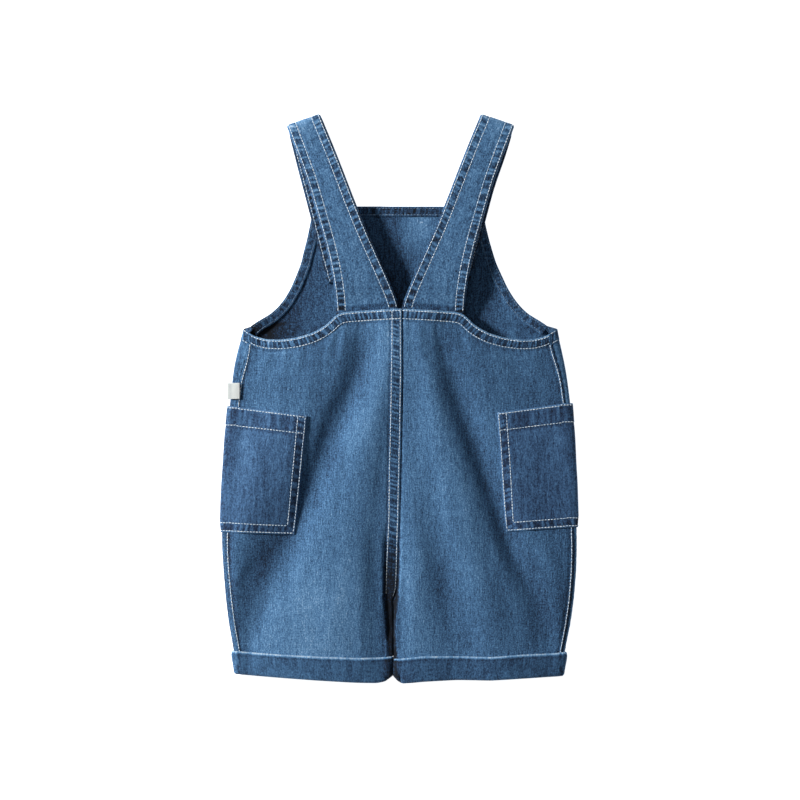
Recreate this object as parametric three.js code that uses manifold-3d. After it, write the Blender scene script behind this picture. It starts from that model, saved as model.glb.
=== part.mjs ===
// Toddler's denim shortalls, laid flat with the back side up.
// Millimetres. +Y runs from the leg hems to the straps, +X to the right of the
// person who looks down on it, +Z up from the surface that it lies on.
// Each piece of cloth is a closed wall; neighbours keep a small gap at seams.
import * as THREE from 'three';
import { mergeVertices } from 'three/addons/utils/BufferGeometryUtils.js';
import Module from 'manifold-3d';

const wasm = await Module();
wasm.setup();

// ---------------------------------------------------------------- sizes
const CLOTH = 1.2;          // wall of one layer of denim
const HEM = 1.0;            // extra layer of a turned hem
const STRAP = 2.4;          // a strap is two layers
const CUFF = 1.6;           // turned-up leg hem
const GAP = 0.3;            // between pieces at seams
const SEAM = 0.15;          // half the gap at a butted seam
const LIFT = 0.4;           // clearance of what lies on a panel
const POCKET_LIFT = 0.6;    // the same under a pocket, which is open at its top
const FOLD_UP = 8.5;        // half-width of the side fold, upper side
const FOLD_LOW = 4.5;       // half-width of the side fold, lower side
const INSEAM = 2.4;         // half-width of the fold at the inside leg
const CROTCH_Y = -165;      // where the four leg seams meet
const CROTCH_RAMP = 14;     // length over which the centre closes into legs
const BIB_TOP = 154.4;
const CUFF_BASE = CUFF + LIFT;      // front layer's height where a cuff is under it
const POCKET_BASE = CLOTH + POCKET_LIFT;   // and where a pocket is under it
const BUTTON_R = 9;
const BUTTON_T = 2.3;

// Outline of the body: fold at the left and right, and the side seams that
// lie on the back, a little inside the folds.
const SIDE = [
  // y, fold_left, fold_right, seam_left, seam_right
  [  62.0, -123.8, 125.6, -119.2, 119.6],
  [  56.4, -124.4, 126.2, -119.9, 120.0],
  [  50.8, -126.4, 127.4, -120.7, 120.6],
  [  39.6, -129.6, 130.0, -121.4, 123.0],
  [  27.6, -132.4, 132.6, -124.2, 127.0],
  [  15.6, -134.0, 134.6, -127.8, 130.2],
  [  -4.4, -136.0, 137.0, -130.2, 132.8],
  [ -32.4, -138.8, 139.2, -133.8, 135.6],
  [ -64.4, -141.0, 140.9, -136.6, 137.6],
  [ -96.4, -142.2, 141.8, -138.6, 138.8],
  [-116.4, -142.4, 142.2, -139.4, 139.6],
  [-136.4, -141.2, 141.8, -138.2, 139.2],
  [-160.4, -139.2, 139.8, -136.0, 137.4],
  [-180.4, -136.7, 137.0, -133.4, 134.4],
  [-198.8, -133.2, 133.0, -130.0, 130.8],
  [-212.0, -131.4, 131.2, -128.2, 128.8],
  [-222.0, -130.4, 129.6, -127.2, 127.2],
];

// Inside edges of the legs below the crotch.
const INNER = [
  // y, left_leg, right_leg
  [-165.0,  -5.5, -5.2],
  [-180.4,  -5.6, -5.2],
  [-194.0,  -5.9, -5.0],
  [-201.0,  -7.3, -2.9],
  [-212.0,  -7.7, -2.4],
  [-218.0,  -8.8, -1.2],
  [-224.0, -10.8,  1.4],
];

// Height of the back layer's upper face along each row: a soft outer crest,
// a valley, the inner crest, the centre seam, and the same on the right,
// where a small extra ridge runs down beside the seam.
const RELIEF = [
  // y, x z outer_left, x z valley_left, x z crest_left, x z seam, x z ridge, x z dip, x z crest_right, x z valley_right, x z outer_right
  [  79.6,  -82.8, 9.0,  -31.6, 13.0,  -9.2, 14.5,  0.8, 14.5,  3.6, 14.5,  6.8, 14.4, 19.6, 15.0,  38.8, 13.5,  96.4, 9.5],
  [  43.6,  -55.6,10.5,  -26.0, 10.0,  -6.0, 12.8,  0.4, 12.8,  3.6, 12.6,  6.0, 12.4, 21.2, 13.8,  40.4, 10.5,  88.4, 9.0],
  [  -0.4,  -65.2, 9.5,  -41.2,  6.5, -20.4, 11.2, -0.4, 11.0,  2.8, 10.8,  8.4, 10.4, 34.0, 12.4,  52.4,  8.0,  96.4, 8.5],
  [ -40.4,  -79.6, 9.0,  -55.6,  4.6, -31.6, 10.6, -1.2,  9.5,  4.4,  9.8, 14.8,  9.6, 46.0, 11.8,  68.4,  6.4, 104.4, 8.5],
  [ -80.4,  -90.0, 8.6,  -68.4,  3.6, -42.0, 10.2, -2.0,  8.0, 10.0,  9.6, 26.0,  8.2, 58.8, 11.2,  84.4,  5.0, 112.4, 8.2],
  [-120.4, -110.0, 7.6,  -86.0,  3.6, -54.0, 10.0, -3.2,  6.4, 14.8,  9.4, 35.6,  6.8, 73.2, 10.6, 102.8,  4.6, 120.4, 7.8],
  [-160.4, -125.2, 7.0, -110.0,  5.4, -70.0, 10.2, -5.5,  5.4, 14.8,  9.2, 40.4,  6.2, 90.0, 10.4, 120.4,  5.8, 128.4, 7.4],
  [-196.4, -127.6, 7.0, -119.6,  6.5, -83.6, 10.6, -5.5,  6.4, 14.8,  9.0, 46.8,  6.8, 96.4, 10.6, 122.8,  6.4, 130.0, 7.0],
  [-232.4, -127.6, 6.8, -119.6,  6.4, -83.6, 10.4, -5.5,  6.4, 14.8,  8.6, 46.8,  6.6, 96.4, 10.4, 122.8,  6.4, 130.0, 6.8],
];

// Top edge of the back, left half, from the centre seam along the yoke line,
// round the corner and down the armhole, with the hem's stitch line below it.
const BACK_TOP = [
  // edge_x, edge_y, hem_x, hem_y
  [   0.8, 72.2,    0.8, 64.6],
  [ -22.0, 71.0,  -21.6, 63.4],
  [ -42.0, 69.7,  -40.6, 62.0],
  [ -48.6, 68.6,  -45.6, 61.3],
  [ -52.8, 64.8,  -49.2, 58.4],
  [ -56.6, 60.7,  -52.6, 54.6],
  [ -62.8, 56.3,  -59.6, 49.9],
  [ -70.8, 52.4,  -68.2, 45.6],
  [ -82.0, 49.2,  -80.6, 42.2],
  [ -94.8, 47.4,  -94.4, 40.4],
  [-106.6, 47.8, -107.4, 41.0],
  [-116.0, 50.4, -117.6, 44.0],
  [-119.9, 53.0, -120.9, 47.0],
];
const BACK_MIRROR = 1.6;    // right half: x = BACK_MIRROR - x of the left half

// Armhole edges of the front, from the bib's top corners to the side seams.
const ARMHOLE = [
  // y, left_x, right_x, z_of_edge
  [154.4,  -69.4,  66.8, 0.0],
  [145.2,  -70.4,  67.8, 0.0],
  [138.8,  -71.6,  68.8, 0.0],
  [127.6,  -74.0,  71.6, 0.0],
  [118.0,  -76.6,  74.4, 0.0],
  [109.2,  -78.6,  77.2, 0.0],
  [100.4,  -82.0,  81.2, 0.0],
  [ 89.2,  -86.8,  86.4, 0.0],
  [ 80.8,  -91.6,  91.6, 0.0],
  [ 74.4,  -96.6,  96.6, 0.2],
  [ 68.4, -103.1, 102.8, 0.8],
  [ 62.4, -113.0, 112.4, 3.4],
];

// How far the bib is held up by the buttons under it.
const BIB_RISE = [
  // y, z
  [ 92.0, 0.0],
  [109.2, 0.8],
  [118.0, 1.7],
  [127.6, 2.6],
  [145.2, 2.6],
  [154.4, 1.6],
];

// Straps: each row is one fold-free step along the strap. Outer edge x y,
// inner edge x y, height of the middle of the cloth at both edges.
const STRAP_UP = [
  // outer_x, outer_y, inner_x, inner_y, outer_z, inner_z
  [-49.9,  64.0,   0.2,  66.4,  null, null],       // tucked under the yoke's hem
  [-50.1,  73.2,  -0.4,  75.6,  null, null],
  [-50.9,  84.4,  -8.8,  94.8,  12.4, 13.6],
  [-53.8, 103.6, -18.8, 117.2,  14.6, 15.4],
  [-58.8, 125.2, -28.4, 138.4,  15.6, 15.8],
  [-65.6, 148.8, -37.4, 161.0,  15.2, 15.0],
  [-73.4, 175.6, -46.6, 185.2,  12.8, 12.8],
  [-81.3, 196.8, -54.6, 205.4,  10.2, 10.2],
  [-88.0, 214.4, -62.1, 223.3,   8.6,  8.6],
];
const STRAP_TURN = { z: 5.1, r: 3.5, steps: 5 };
const STRAP_DOWN = [
  [-87.2, 210.0, -61.2, 219.2,  1.7,  1.7],
  [-79.6, 179.6, -53.6, 187.0,  1.7,  1.7],
  [-76.4, 168.0, -50.4, 175.4,  2.6,  2.4],
  [-73.6, 157.4, -47.5, 164.6,  5.6,  5.2],
  [-71.8, 150.4, -45.8, 157.4,  6.6,  6.2],
  [-69.7, 142.8, -43.6, 149.6,  6.8,  6.5],
  [-66.4, 129.6, -40.4, 136.4,  6.7,  6.2],
  [-63.2, 116.4, -37.2, 123.2,  5.7,  5.5],
  [-60.0, 104.4, -34.2, 111.2,  4.2,  4.5],
  [-57.0,  93.2, -31.2, 100.0,  3.2,  3.4],
];
const STRAP_MIRROR = 1.6;
const RIGHT_DOWN_SHIFT = -3.2;      // the right strap's hidden end lies nearer the middle

// Patch pockets that wrap round the side folds to the front.
const POCKET = {
  left:  { corner_x:  -74.2, corner_y: -13.2, foot_x:  -84.4, foot_y: -108.1, fold_y:  -5.8, sole_y: -106.0 },
  right: { corner_x:   78.2, corner_y: -10.8, foot_x:   85.6, foot_y: -105.6, fold_y:  -3.4, sole_y: -102.0 },
  reach: 42,                // width hidden on the front, from the fold
  rise: 4,                  // how much the top edge goes on rising there
};

// Cuffs: lower and upper edges on the back side.
const CUFF_EDGE = {
  left:  [ // x, top, bottom
    [-136.0, -201.4, -218.8], [-124.0, -202.6, -219.8], [-93.4, -204.6, -222.0], [-64.4, -206.0, -224.0],
    [ -35.2, -207.2, -225.8], [ -18.0, -207.2, -226.4], [ -11.0, -206.8, -225.0], [ -5.0, -206.2, -219.6],
  ],
  right: [
    [  -5.0, -208.6, -220.0], [   1.0, -207.8, -226.8], [ 19.1, -205.8, -225.0], [ 45.6, -206.0, -223.8],
    [  73.2, -206.4, -224.0], [  98.0, -204.6, -222.6], [124.7, -203.8, -221.2], [136.0, -202.2, -220.4],
  ],
};
// columns of a cuff on the back side, on the crests and valleys there
const CUFF_COLUMNS = {
  left: [-102, -92, -83.6, -74, -56, -36, -20],
  right: [113, 104, 96.4, 88, 70, 46.8, 28, 14.8],
};
const LABEL = { x0: -137.6, x1: -127.9, y0: 0.6, y1: 13.0, t: 1.0 };
const BUTTONS = { left: [-54.4, 136], right: [52.8, 136] };
const ORIGIN = [-0.05, 0.65];       // middle of the whole outline

// ---------------------------------------------------------------- helpers
const lerp = (a, b, t) => a + (b - a) * t;
const clamp01 = (t) => Math.min(1, Math.max(0, t));
const ease = (t) => { t = clamp01(t); return t * t * (3 - 2 * t); };
// value of a column of a table, by linear steps in its first column
function look(table, key, col) {
  const down = table[0][0] > table[table.length - 1][0];
  const rows = down ? [...table].reverse() : table;
  if (key <= rows[0][0]) return rows[0][col];
  for (let i = 1; i < rows.length; i++) {
    if (key <= rows[i][0]) {
      const t = (key - rows[i - 1][0]) / (rows[i][0] - rows[i - 1][0]);
      return lerp(rows[i - 1][col], rows[i][col], t);
    }
  }
  return rows[rows.length - 1][col];
}

const foldX = (y, s) => look(SIDE, y, s < 0 ? 1 : 2);
const seamX = (y, s) => look(SIDE, y, s < 0 ? 3 : 4);
const centreX = (y) => look(RELIEF, y, 7);
const legs = (y) => ease((CROTCH_Y + CROTCH_RAMP - y) / CROTCH_RAMP);   // 0 body, 1 legs
function innerX(y, s) {
  if (y > CROTCH_Y) return centreX(y) ;
  return look(INNER, y, s < 0 ? 1 : 2);
}

// lower face of the front layer
function base(x, y) {
  const bib = y > 92 ? look(BIB_RISE, y, 1) : 0;
  const hem = ease((-186 - y) / 13) * CUFF_BASE;
  const inX = ease((Math.abs(x) - 80) / 15);
  const inY = ease((16 - y) / 13) * ease((y + 124) / 14);
  return Math.max(bib, hem, POCKET_BASE * inX * inY);
}
const foldMid = (x, y) => (base(x, y) + Math.max(foldTop(x, y), base(x, y) + 4.2)) / 2;
const foldTop = (x, y) => relief(x, y);

// upper face of the back layer: soft steps between the stations of a row
function relief(x, y) {
  const st = [];
  for (let c = 1; c < 19; c += 2) st.push([look(RELIEF, y, c), look(RELIEF, y, c + 1)]);
  const e = [foldX(y, -1) + 3, 6.6], f = [foldX(y, 1) - 3, 6.6];
  const all = [e, ...st.filter(p => p[0] > e[0] + 2 && p[0] < f[0] - 2), f];
  if (x <= all[0][0]) return all[0][1];
  for (let i = 1; i < all.length; i++) {
    if (x <= all[i][0]) return lerp(all[i - 1][1], all[i][1], ease((x - all[i - 1][0]) / (all[i][0] - all[i - 1][0])));
  }
  return all[all.length - 1][1];
}
const V = (x, y, z) => new THREE.Vector3(x, y, z);

// The body's surface. face: 1 back layer, -1 front layer. s: side.
// at: {fold: angle} on the side fold, {x} in the flat part,
// {inner: angle} at the inside of a leg; angle 0 is the outermost point.
function skin(face, s, y, at) {
  const half = face > 0 ? FOLD_UP : FOLD_LOW;
  const xf = foldX(y, s), xi = innerX(y, s);
  const zm = foldMid(xf - s * 3, y);
  const flat = (x) => (face > 0 ? relief(x, y) : base(x, y));
  if (at.fold !== undefined) {
    const x = xf - s * half * (1 - Math.cos(at.fold));
    return V(x, y, lerp(zm, flat(x), Math.sin(at.fold)));
  }
  if (at.inner !== undefined) {
    const x = xi + s * INSEAM * (1 - Math.cos(at.inner));
    const zi = (base(xi, y) + Math.max(relief(xi, y), base(xi, y) + 2.7 + GAP)) / 2 + face * SEAM;
    const w = legs(y) * (1 - Math.sin(at.inner));
    return V(x, y, lerp(flat(x), zi, w));
  }
  return V(at.x, y, flat(at.x));
}

// At a seam both neighbours take the surface's own direction, so that their
// rims stay parallel.
function seamPoint(s, y, angle) {
  const p = skin(1, s, y, { fold: angle });
  const a = skin(1, s, y, { fold: angle + 0.03 }).sub(skin(1, s, y, { fold: angle - 0.03 }));
  const b = skin(1, s, y + 0.5, { fold: angle }).sub(skin(1, s, y - 0.5, { fold: angle }));
  p.n = a.cross(b).normalize();
  if (p.n.z < 0) p.n.negate();
  return p;
}
function inseamPoint(face, s, y) {
  const p = skin(face, s, y, { inner: 0 });
  const w = legs(y);
  p.n = V(-s * w, 0, face * (1 - w)).normalize();
  if (w === 0) delete p.n;
  return p;
}

// A wall from a net of quads: the points are its outer face, and the wall
// grows to the other side by t. Rims are closed along every free edge.
function wall(points, quads, t, lift = 0) {
  const n = points.map(() => V(0, 0, 0));
  const a = V(0, 0, 0), b = V(0, 0, 0);
  for (const q of quads) {
    a.subVectors(points[q[2]], points[q[0]]);
    b.subVectors(points[q[3]], points[q[1]]);
    const m = a.clone().cross(b);
    for (const i of q) n[i].add(m);
  }
  n.forEach((v, i) => (points[i].n ? v.copy(points[i].n) : v).normalize());
  const pos = [], idx = [], N = points.length;
  points.forEach((p, i) => { const o = p.clone().addScaledVector(n[i], lift); pos.push(o.x, o.y, o.z); });
  points.forEach((p, i) => { const o = p.clone().addScaledVector(n[i], lift - t); pos.push(o.x, o.y, o.z); });
  const seen = new Map();
  for (const [i, j, k, l] of quads) {
    idx.push(i, j, k, i, k, l);
    idx.push(N + i, N + k, N + j, N + i, N + l, N + k);
    for (const [u, v] of [[i, j], [j, k], [k, l], [l, i]]) seen.set(u + '_' + v, [u, v]);
  }
  for (const [key, [u, v]] of seen) {
    if (!seen.has(v + '_' + u)) idx.push(u, N + u, N + v, u, N + v, v);
  }
  const g = new THREE.BufferGeometry();
  g.setAttribute('position', new THREE.Float32BufferAttribute(pos, 3));
  g.setIndex(idx);
  return mergeVertices(g, 1e-4);
}
// rows x cols net; flip turns the outer face over
function net(rows, flip = false, ring = false) {
  const points = [], quads = [], C = rows[0].length;
  rows.forEach(r => points.push(...r));
  for (let i = 0; i + 1 < rows.length; i++) {
    for (let j = 0; j < (ring ? C : C - 1); j++) {
      const k = (j + 1) % C;
      const q = [i * C + j, (i + 1) * C + j, (i + 1) * C + k, i * C + k];
      quads.push(flip ? [q[0], q[3], q[2], q[1]] : q);
    }
  }
  return [points, quads];
}

const root = new THREE.Group();
const denim = new THREE.MeshStandardMaterial({ color: 0x4d7097, roughness: 0.9, metalness: 0 });
const denimInside = new THREE.MeshStandardMaterial({ color: 0x3f6088, roughness: 0.95, metalness: 0 });
const white = new THREE.MeshStandardMaterial({ color: 0xd8ded9, roughness: 0.8, metalness: 0 });
const plastic = new THREE.MeshStandardMaterial({ color: 0x2e3d50, roughness: 0.45, metalness: 0 });
function add(name, geometry, material) {
  const m = new THREE.Mesh(geometry, material.clone());
  m.name = name;
  m.position.set(-ORIGIN[0], -ORIGIN[1], 0);
  root.add(m);
}

// ---------------------------------------------------------------- front
// One panel from bib to leg hems; it wraps round the side folds to the side
// seams on the back, and splits into two legs at the crotch.
const D = Math.PI / 180;
const BODY_ROWS = [56.4, 48, 38, 26, 12, -2, -18, -36, -56, -78, -100, -110, -122, -136, -150.5, -157, -161.5, -165,
                   -170, -177, -187, -193, -199, -206, -213, -218.6];
function seamAngle(y, s) {
  const d = Math.abs(seamX(y, s) - foldX(y, s));
  return Math.acos(Math.max(0.02, 1 - d / FOLD_UP));
}
function frontRow(y, s) {
  const fa = seamAngle(y, s);
  const shy = SEAM / FOLD_UP;             // seam gap as an angle
  const xf = foldX(y, s) - s * FOLD_LOW, xi = innerX(y, s) + s * INSEAM;
  const row = [
    seamPoint(s, y, fa - shy),
    skin(1, s, y, { fold: fa * 0.5 }),
    skin(-1, s, y, { fold: 0 }),
    skin(-1, s, y, { fold: 32 * D }),
    skin(-1, s, y, { fold: 62 * D }),
    skin(-1, s, y, { fold: 90 * D }),
  ];
  for (const f of [0.12, 0.28, 0.42, 0.75]) row.push(skin(-1, s, y, { x: lerp(xf, xi, f) }));
  row.push(skin(-1, s, y, { inner: 90 * D }), skin(-1, s, y, { inner: 42 * D }), inseamPoint(-1, s, y));
  return row;
}
function bibRow(r, s) {
  const [y, xl, xr, ze] = r, xe = s < 0 ? xl : xr;
  const xi = innerX(y, s) + s * INSEAM, z0 = look(BIB_RISE, y, 1) * (y > 92 ? 1 : 0);
  const row = [0, 2.4, 4.8, 7.2, 9.6, 12.5].map(d => V(xe - s * d, y, z0 + ze * (1 - d / 12.5) ** 2));
  const x5 = xe - s * 12.5;
  for (const f of [0.12, 0.28, 0.42, 0.75]) row.push(V(lerp(x5, xi, f), y, z0));
  row.push(V(xi, y, z0), V(xi - s * INSEAM * 0.26 / 1, y, z0), V(innerX(y, s), y, z0));
  return row;
}
{
  const points = [], quads = [];
  const rowsOf = (s) => [...ARMHOLE.map(r => bibRow(r, s)), ...BODY_ROWS.map(y => frontRow(y, s))];
  const L = rowsOf(-1), R = rowsOf(1), C = L[0].length;
  const splitAt = ARMHOLE.length + BODY_ROWS.indexOf(CROTCH_Y);   // last row with one centre point
  const id = { l: [], r: [] };
  L.forEach((row, i) => { id.l.push(row.map(p => points.push(p) - 1)); });
  R.forEach((row, i) => {
    id.r.push(row.map((p, j) => (j === C - 1 && i <= splitAt ? id.l[i][j] : points.push(p) - 1)));
  });
  for (let i = 0; i + 1 < L.length; i++) {
    for (let j = 0; j + 1 < C; j++) {
      const a = id.l, b = id.r;
      quads.push([a[i][j], a[i][j + 1], a[i + 1][j + 1], a[i + 1][j]]);
      quads.push([b[i][j], b[i + 1][j], b[i + 1][j + 1], b[i][j + 1]]);
    }
  }
  add('front', wall(points, quads, CLOTH), denim);
}

// ---------------------------------------------------------------- back
const BACK_ROWS = [12, -2, -16, -32, -48, -64, -80, -96, -112, -126, -138, -150.5, -157.5, -165, -171, -179, -190, -202, -212, -219];
function backRow(y, s) {
  const fa = seamAngle(y, s), shy = SEAM / FOLD_UP;
  const st = s < 0 ? [1, 3, 5] : [17, 15, 13];
  const [xo, xv, xc] = st.map(c => look(RELIEF, y, c));
  const x0 = skin(1, s, y, { fold: fa + shy }).x;
  const xi = innerX(y, s) + s * INSEAM;
  const outer = s * Math.max(Math.min(s * xo, s * x0 - 5), 0);
  const valley = s * Math.min(s * xv, s * outer - 4), crest = s * Math.min(s * xc, s * valley - 6);
  const mids = s < 0 ? [lerp(crest, xi, 0.35), lerp(crest, xi, 0.7)]
                     : [look(RELIEF, y, 11), look(RELIEF, y, 9)].map((x, k) => Math.max(x, xi + 2.4 * (2 - k)));
  const xs = [lerp(x0, outer, 0.5), outer, lerp(outer, valley, 0.5), valley, lerp(valley, crest, 0.5), crest,
              lerp(crest, mids[0], 0.5), mids[0], mids[1]];
  const row = [seamPoint(s, y, fa + shy)];
  // columns that still lie on the rounded fold follow it
  for (const x of xs) {
    const d = Math.abs(x - foldX(y, s));
    row.push(d < FOLD_UP ? skin(1, s, y, { fold: Math.acos(1 - d / FOLD_UP) }) : skin(1, s, y, { x }));
  }
  row.push(skin(1, s, y, { inner: 90 * D }), skin(1, s, y, { inner: 42 * D }), inseamPoint(1, s, y));
  const gap = y > CROTCH_Y ? SEAM : 0;
  row[row.length - 1].x += s * gap;
  row[row.length - 2].x += s * gap;
  return row;
}
const onBack = (x, y, s) => {
  const d = Math.abs(x - foldX(y, s));
  return d < FOLD_UP ? skin(1, s, y, { fold: Math.acos(Math.max(-1, 1 - d / FOLD_UP)) }) : skin(1, s, y, { x });
};
function backRows(s) {
  const side = (x) => (s < 0 ? x : BACK_MIRROR - x);
  const shy = (x, j) => (j === 0 ? x + s * SEAM : x);
  const top = BACK_TOP.map((r, j) => onBack(shy(side(r[0]), j), r[1], s)).reverse();
  const hem = BACK_TOP.map((r, j) => onBack(shy(side(r[2]), j), r[3], s)).reverse();
  const low = backRow(BACK_ROWS[0], s);
  const rows = [top, hem];
  for (const t of [0.28, 0.6]) {
    rows.push(hem.map((p, j) => onBack(lerp(p.x, low[j].x, t), lerp(p.y, low[j].y, t), s)));
  }
  // the outermost point of each row runs down the side seam
  rows.forEach((row, i) => {
    const y = row[0].y;
    row[0] = seamPoint(s, y, seamAngle(y, s) + SEAM / FOLD_UP);
  });
  return [...rows, low, ...BACK_ROWS.slice(1).map(y => backRow(y, s))];
}
const backNets = {};
for (const [name, s] of [['left', -1], ['right', 1]]) {
  const rows = backRows(s);
  backNets[name] = rows;
  const [p, q] = net(rows, s > 0);
  add('back_' + name, wall(p, q, CLOTH), denim);
  // turned hem under the top edge
  const [hp, hq] = net([rows[0], rows[1]], s > 0);
  add('back_hem_' + name, wall(hp, hq, HEM, -CLOTH - GAP), denimInside);
}

// ---------------------------------------------------------------- bib hems
{
  const edge = (s) => ARMHOLE.slice(0, 11).map(r => V(s < 0 ? r[1] : r[2], r[0], 0));
  const inside = (p) => look(BIB_RISE, p.y, 1) * (p.y > 92 ? 1 : 0) + CLOTH + LIFT;
  const TOP_HEM = 7.6, SIDE_HEM = 7.2;
  for (const [name, s] of [['left', -1], ['right', 1]]) {
    const e = edge(s), rows = [];
    for (let i = 0; i < e.length; i++) {
      const a = e[Math.max(0, i - 1)], b = e[Math.min(e.length - 1, i + 1)];
      const dir = b.clone().sub(a).normalize();
      const out = V(dir.y * s, -dir.x * s, 0);          // towards the middle of the bib
      const w = out.x * s < 0 ? out : out.negate();
      const p = e[i].clone(), q = e[i].clone().addScaledVector(w, SIDE_HEM);
      if (i === 0) { p.y -= TOP_HEM + GAP; q.set(e[0].x - s * SIDE_HEM, p.y, 0); p.x += s * 0.9; }
      const rise = ARMHOLE[i][3];
      p.z = inside(p) + rise * 1.0 + 0.05; q.z = inside(q) + rise * 0.5;
      rows.push([p, q]);
    }
    const [p, q] = net(rows, s > 0);
    add('front_hem_' + name, wall(p, q, HEM, HEM), denimInside);
  }
  const cols = [0, 0.2, 0.4, 0.6, 0.8, 1];
  const xl = ARMHOLE[0][1], xr = ARMHOLE[0][2];
  const row = (y) => cols.map(f => { const p = V(lerp(xl, xr, f), y, 0); p.z = inside(p); return p; });
  const [p, q] = net([row(BIB_TOP), row(BIB_TOP - TOP_HEM)], false);
  add('front_hem_top', wall(p, q, HEM, HEM), denimInside);
}

// ---------------------------------------------------------------- straps
for (const [name, s] of [['left', -1], ['right', 1]]) {
  const mx = (x) => (s < 0 ? x : STRAP_MIRROR - x);
  const under = (x, y) => relief(x, y) - CLOTH - GAP - HEM - GAP - STRAP / 2 - 0.15;
  const pair = (r, dx = 0) => [V(mx(r[0]) + dx, r[1], r[4] ?? under(mx(r[0]), r[1])),
                               V(mx(r[2]) + dx, r[3], r[5] ?? under(mx(r[2]), r[3]))];
  const up = STRAP_UP.map(r => pair(r));
  const last = up[up.length - 1];
  const along = last[0].clone().sub(up[up.length - 2][0]).setZ(0).normalize();
  const turn = [];
  for (let k = 1; k <= STRAP_TURN.steps; k++) {
    const a = (k / STRAP_TURN.steps) * Math.PI * 0.98;
    turn.push(last.map(p => V(p.x, p.y, 0).addScaledVector(along, STRAP_TURN.r * Math.sin(a))
      .setZ(STRAP_TURN.z + STRAP_TURN.r * Math.cos(a))));
  }
  const down = STRAP_DOWN.map(r => pair(r, s > 0 ? RIGHT_DOWN_SHIFT : 0));
  const rows = [...up, ...turn, ...down].map(([o, i]) => [o, o.clone().lerp(i, 0.5), i]);
  const [p, q] = net(rows, s < 0);
  add('strap_' + name, wall(p, q, STRAP, STRAP / 2), denim);
}

// ---------------------------------------------------------------- pockets
for (const [name, s] of [['left', -1], ['right', 1]]) {
  const k = POCKET[name], rows = [];
  const ROWS = [0, 0.14, 0.32, 0.5, 0.68, 0.86, 1];
  for (const t of ROWS) {
    // straight edges on the back, carried on round the fold
    const xin = lerp(k.corner_x, k.foot_x, t), yin = lerp(k.corner_y, k.foot_y, t);
    const yf = lerp(k.fold_y, k.sole_y, t), yh = yf + POCKET.rise * (1 - t);
    const xf = foldX(yf, s), xUp = xf - s * FOLD_UP, xLow = xf - s * FOLD_LOW;
    const row = [];
    for (const f of [0, 0.2, 0.4, 0.6, 0.8, 1]) {
      const x = lerp(xin, xUp, f);
      row.push(skin(1, s, lerp(yin, yf, f * 0.9), { x }));
    }
    for (const a of [64, 42, 20]) row.push(skin(1, s, yf, { fold: a * D }));
    row.push(skin(-1, s, yf, { fold: 0 }));
    for (const a of [32, 62, 90]) row.push(skin(-1, s, yf, { fold: a * D }));
    for (const f of [0.5, 1]) row.push(skin(-1, s, lerp(yf, yh, f), { x: lerp(xLow, xf - s * POCKET.reach, f) }));
    rows.push(row);
  }
  const [p, q] = net(rows, s < 0);
  add('pocket_' + name, wall(p, q, CLOTH, POCKET_LIFT + CLOTH), denim);
}

// ---------------------------------------------------------------- cuffs
for (const [name, s] of [['left', -1], ['right', 1]]) {
  const tab = CUFF_EDGE[name];
  const ring = (t) => {
    const row = [];
    const at = (face, where, guess) => {
      const y = lerp(look(tab, guess, 1), look(tab, guess, 2), t);
      return skin(face, s, y, where);
    };
    const yo = lerp(look(tab, s * 134, 1), look(tab, s * 134, 2), t);
    const xf = foldX(yo, s), xiT = innerX(-212, s);
    for (const a of [0, 30, 60, 90]) row.push(at(1, { fold: a * D }, xf));
    for (const x of CUFF_COLUMNS[name]) row.push(at(1, { x }, x));
    for (const a of [90, 50, 20]) row.push(at(1, { inner: a * D }, xiT + s * INSEAM * (1 - Math.cos(a * D))));
    for (const a of [20, 50, 90]) row.push(at(-1, { inner: a * D }, xiT + s * INSEAM * (1 - Math.cos(a * D))));
    for (const f of [0.7, 0.35]) {
      const x = lerp(xf - s * FOLD_LOW, xiT + s * INSEAM, f);
      row.push(at(-1, { x }, x));
    }
    for (const a of [90, 60, 30]) row.push(at(-1, { fold: a * D }, xf));
    return row;
  };
  const [p, q] = net([ring(0), ring(0.5), ring(1)], s > 0, true);
  add('cuff_' + name, wall(p, q, CUFF, LIFT + CUFF), denim);
}

// ---------------------------------------------------------------- label
{
  const { x0, x1, y0, y1, t } = LABEL, ys = [y1, y0];
  const rows = ys.map(y => {
    const zs = skin(1, -1, y, { fold: seamAngle(y, -1) }).z;
    return [V(x0, y, zs + 0.7), V((x0 + x1) / 2, y, zs + 1.3), V(x1, y, zs + 1.1)];
  });
  const [p, q] = net(rows);
  add('label', wall(p, q, t, t), white);
}

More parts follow.
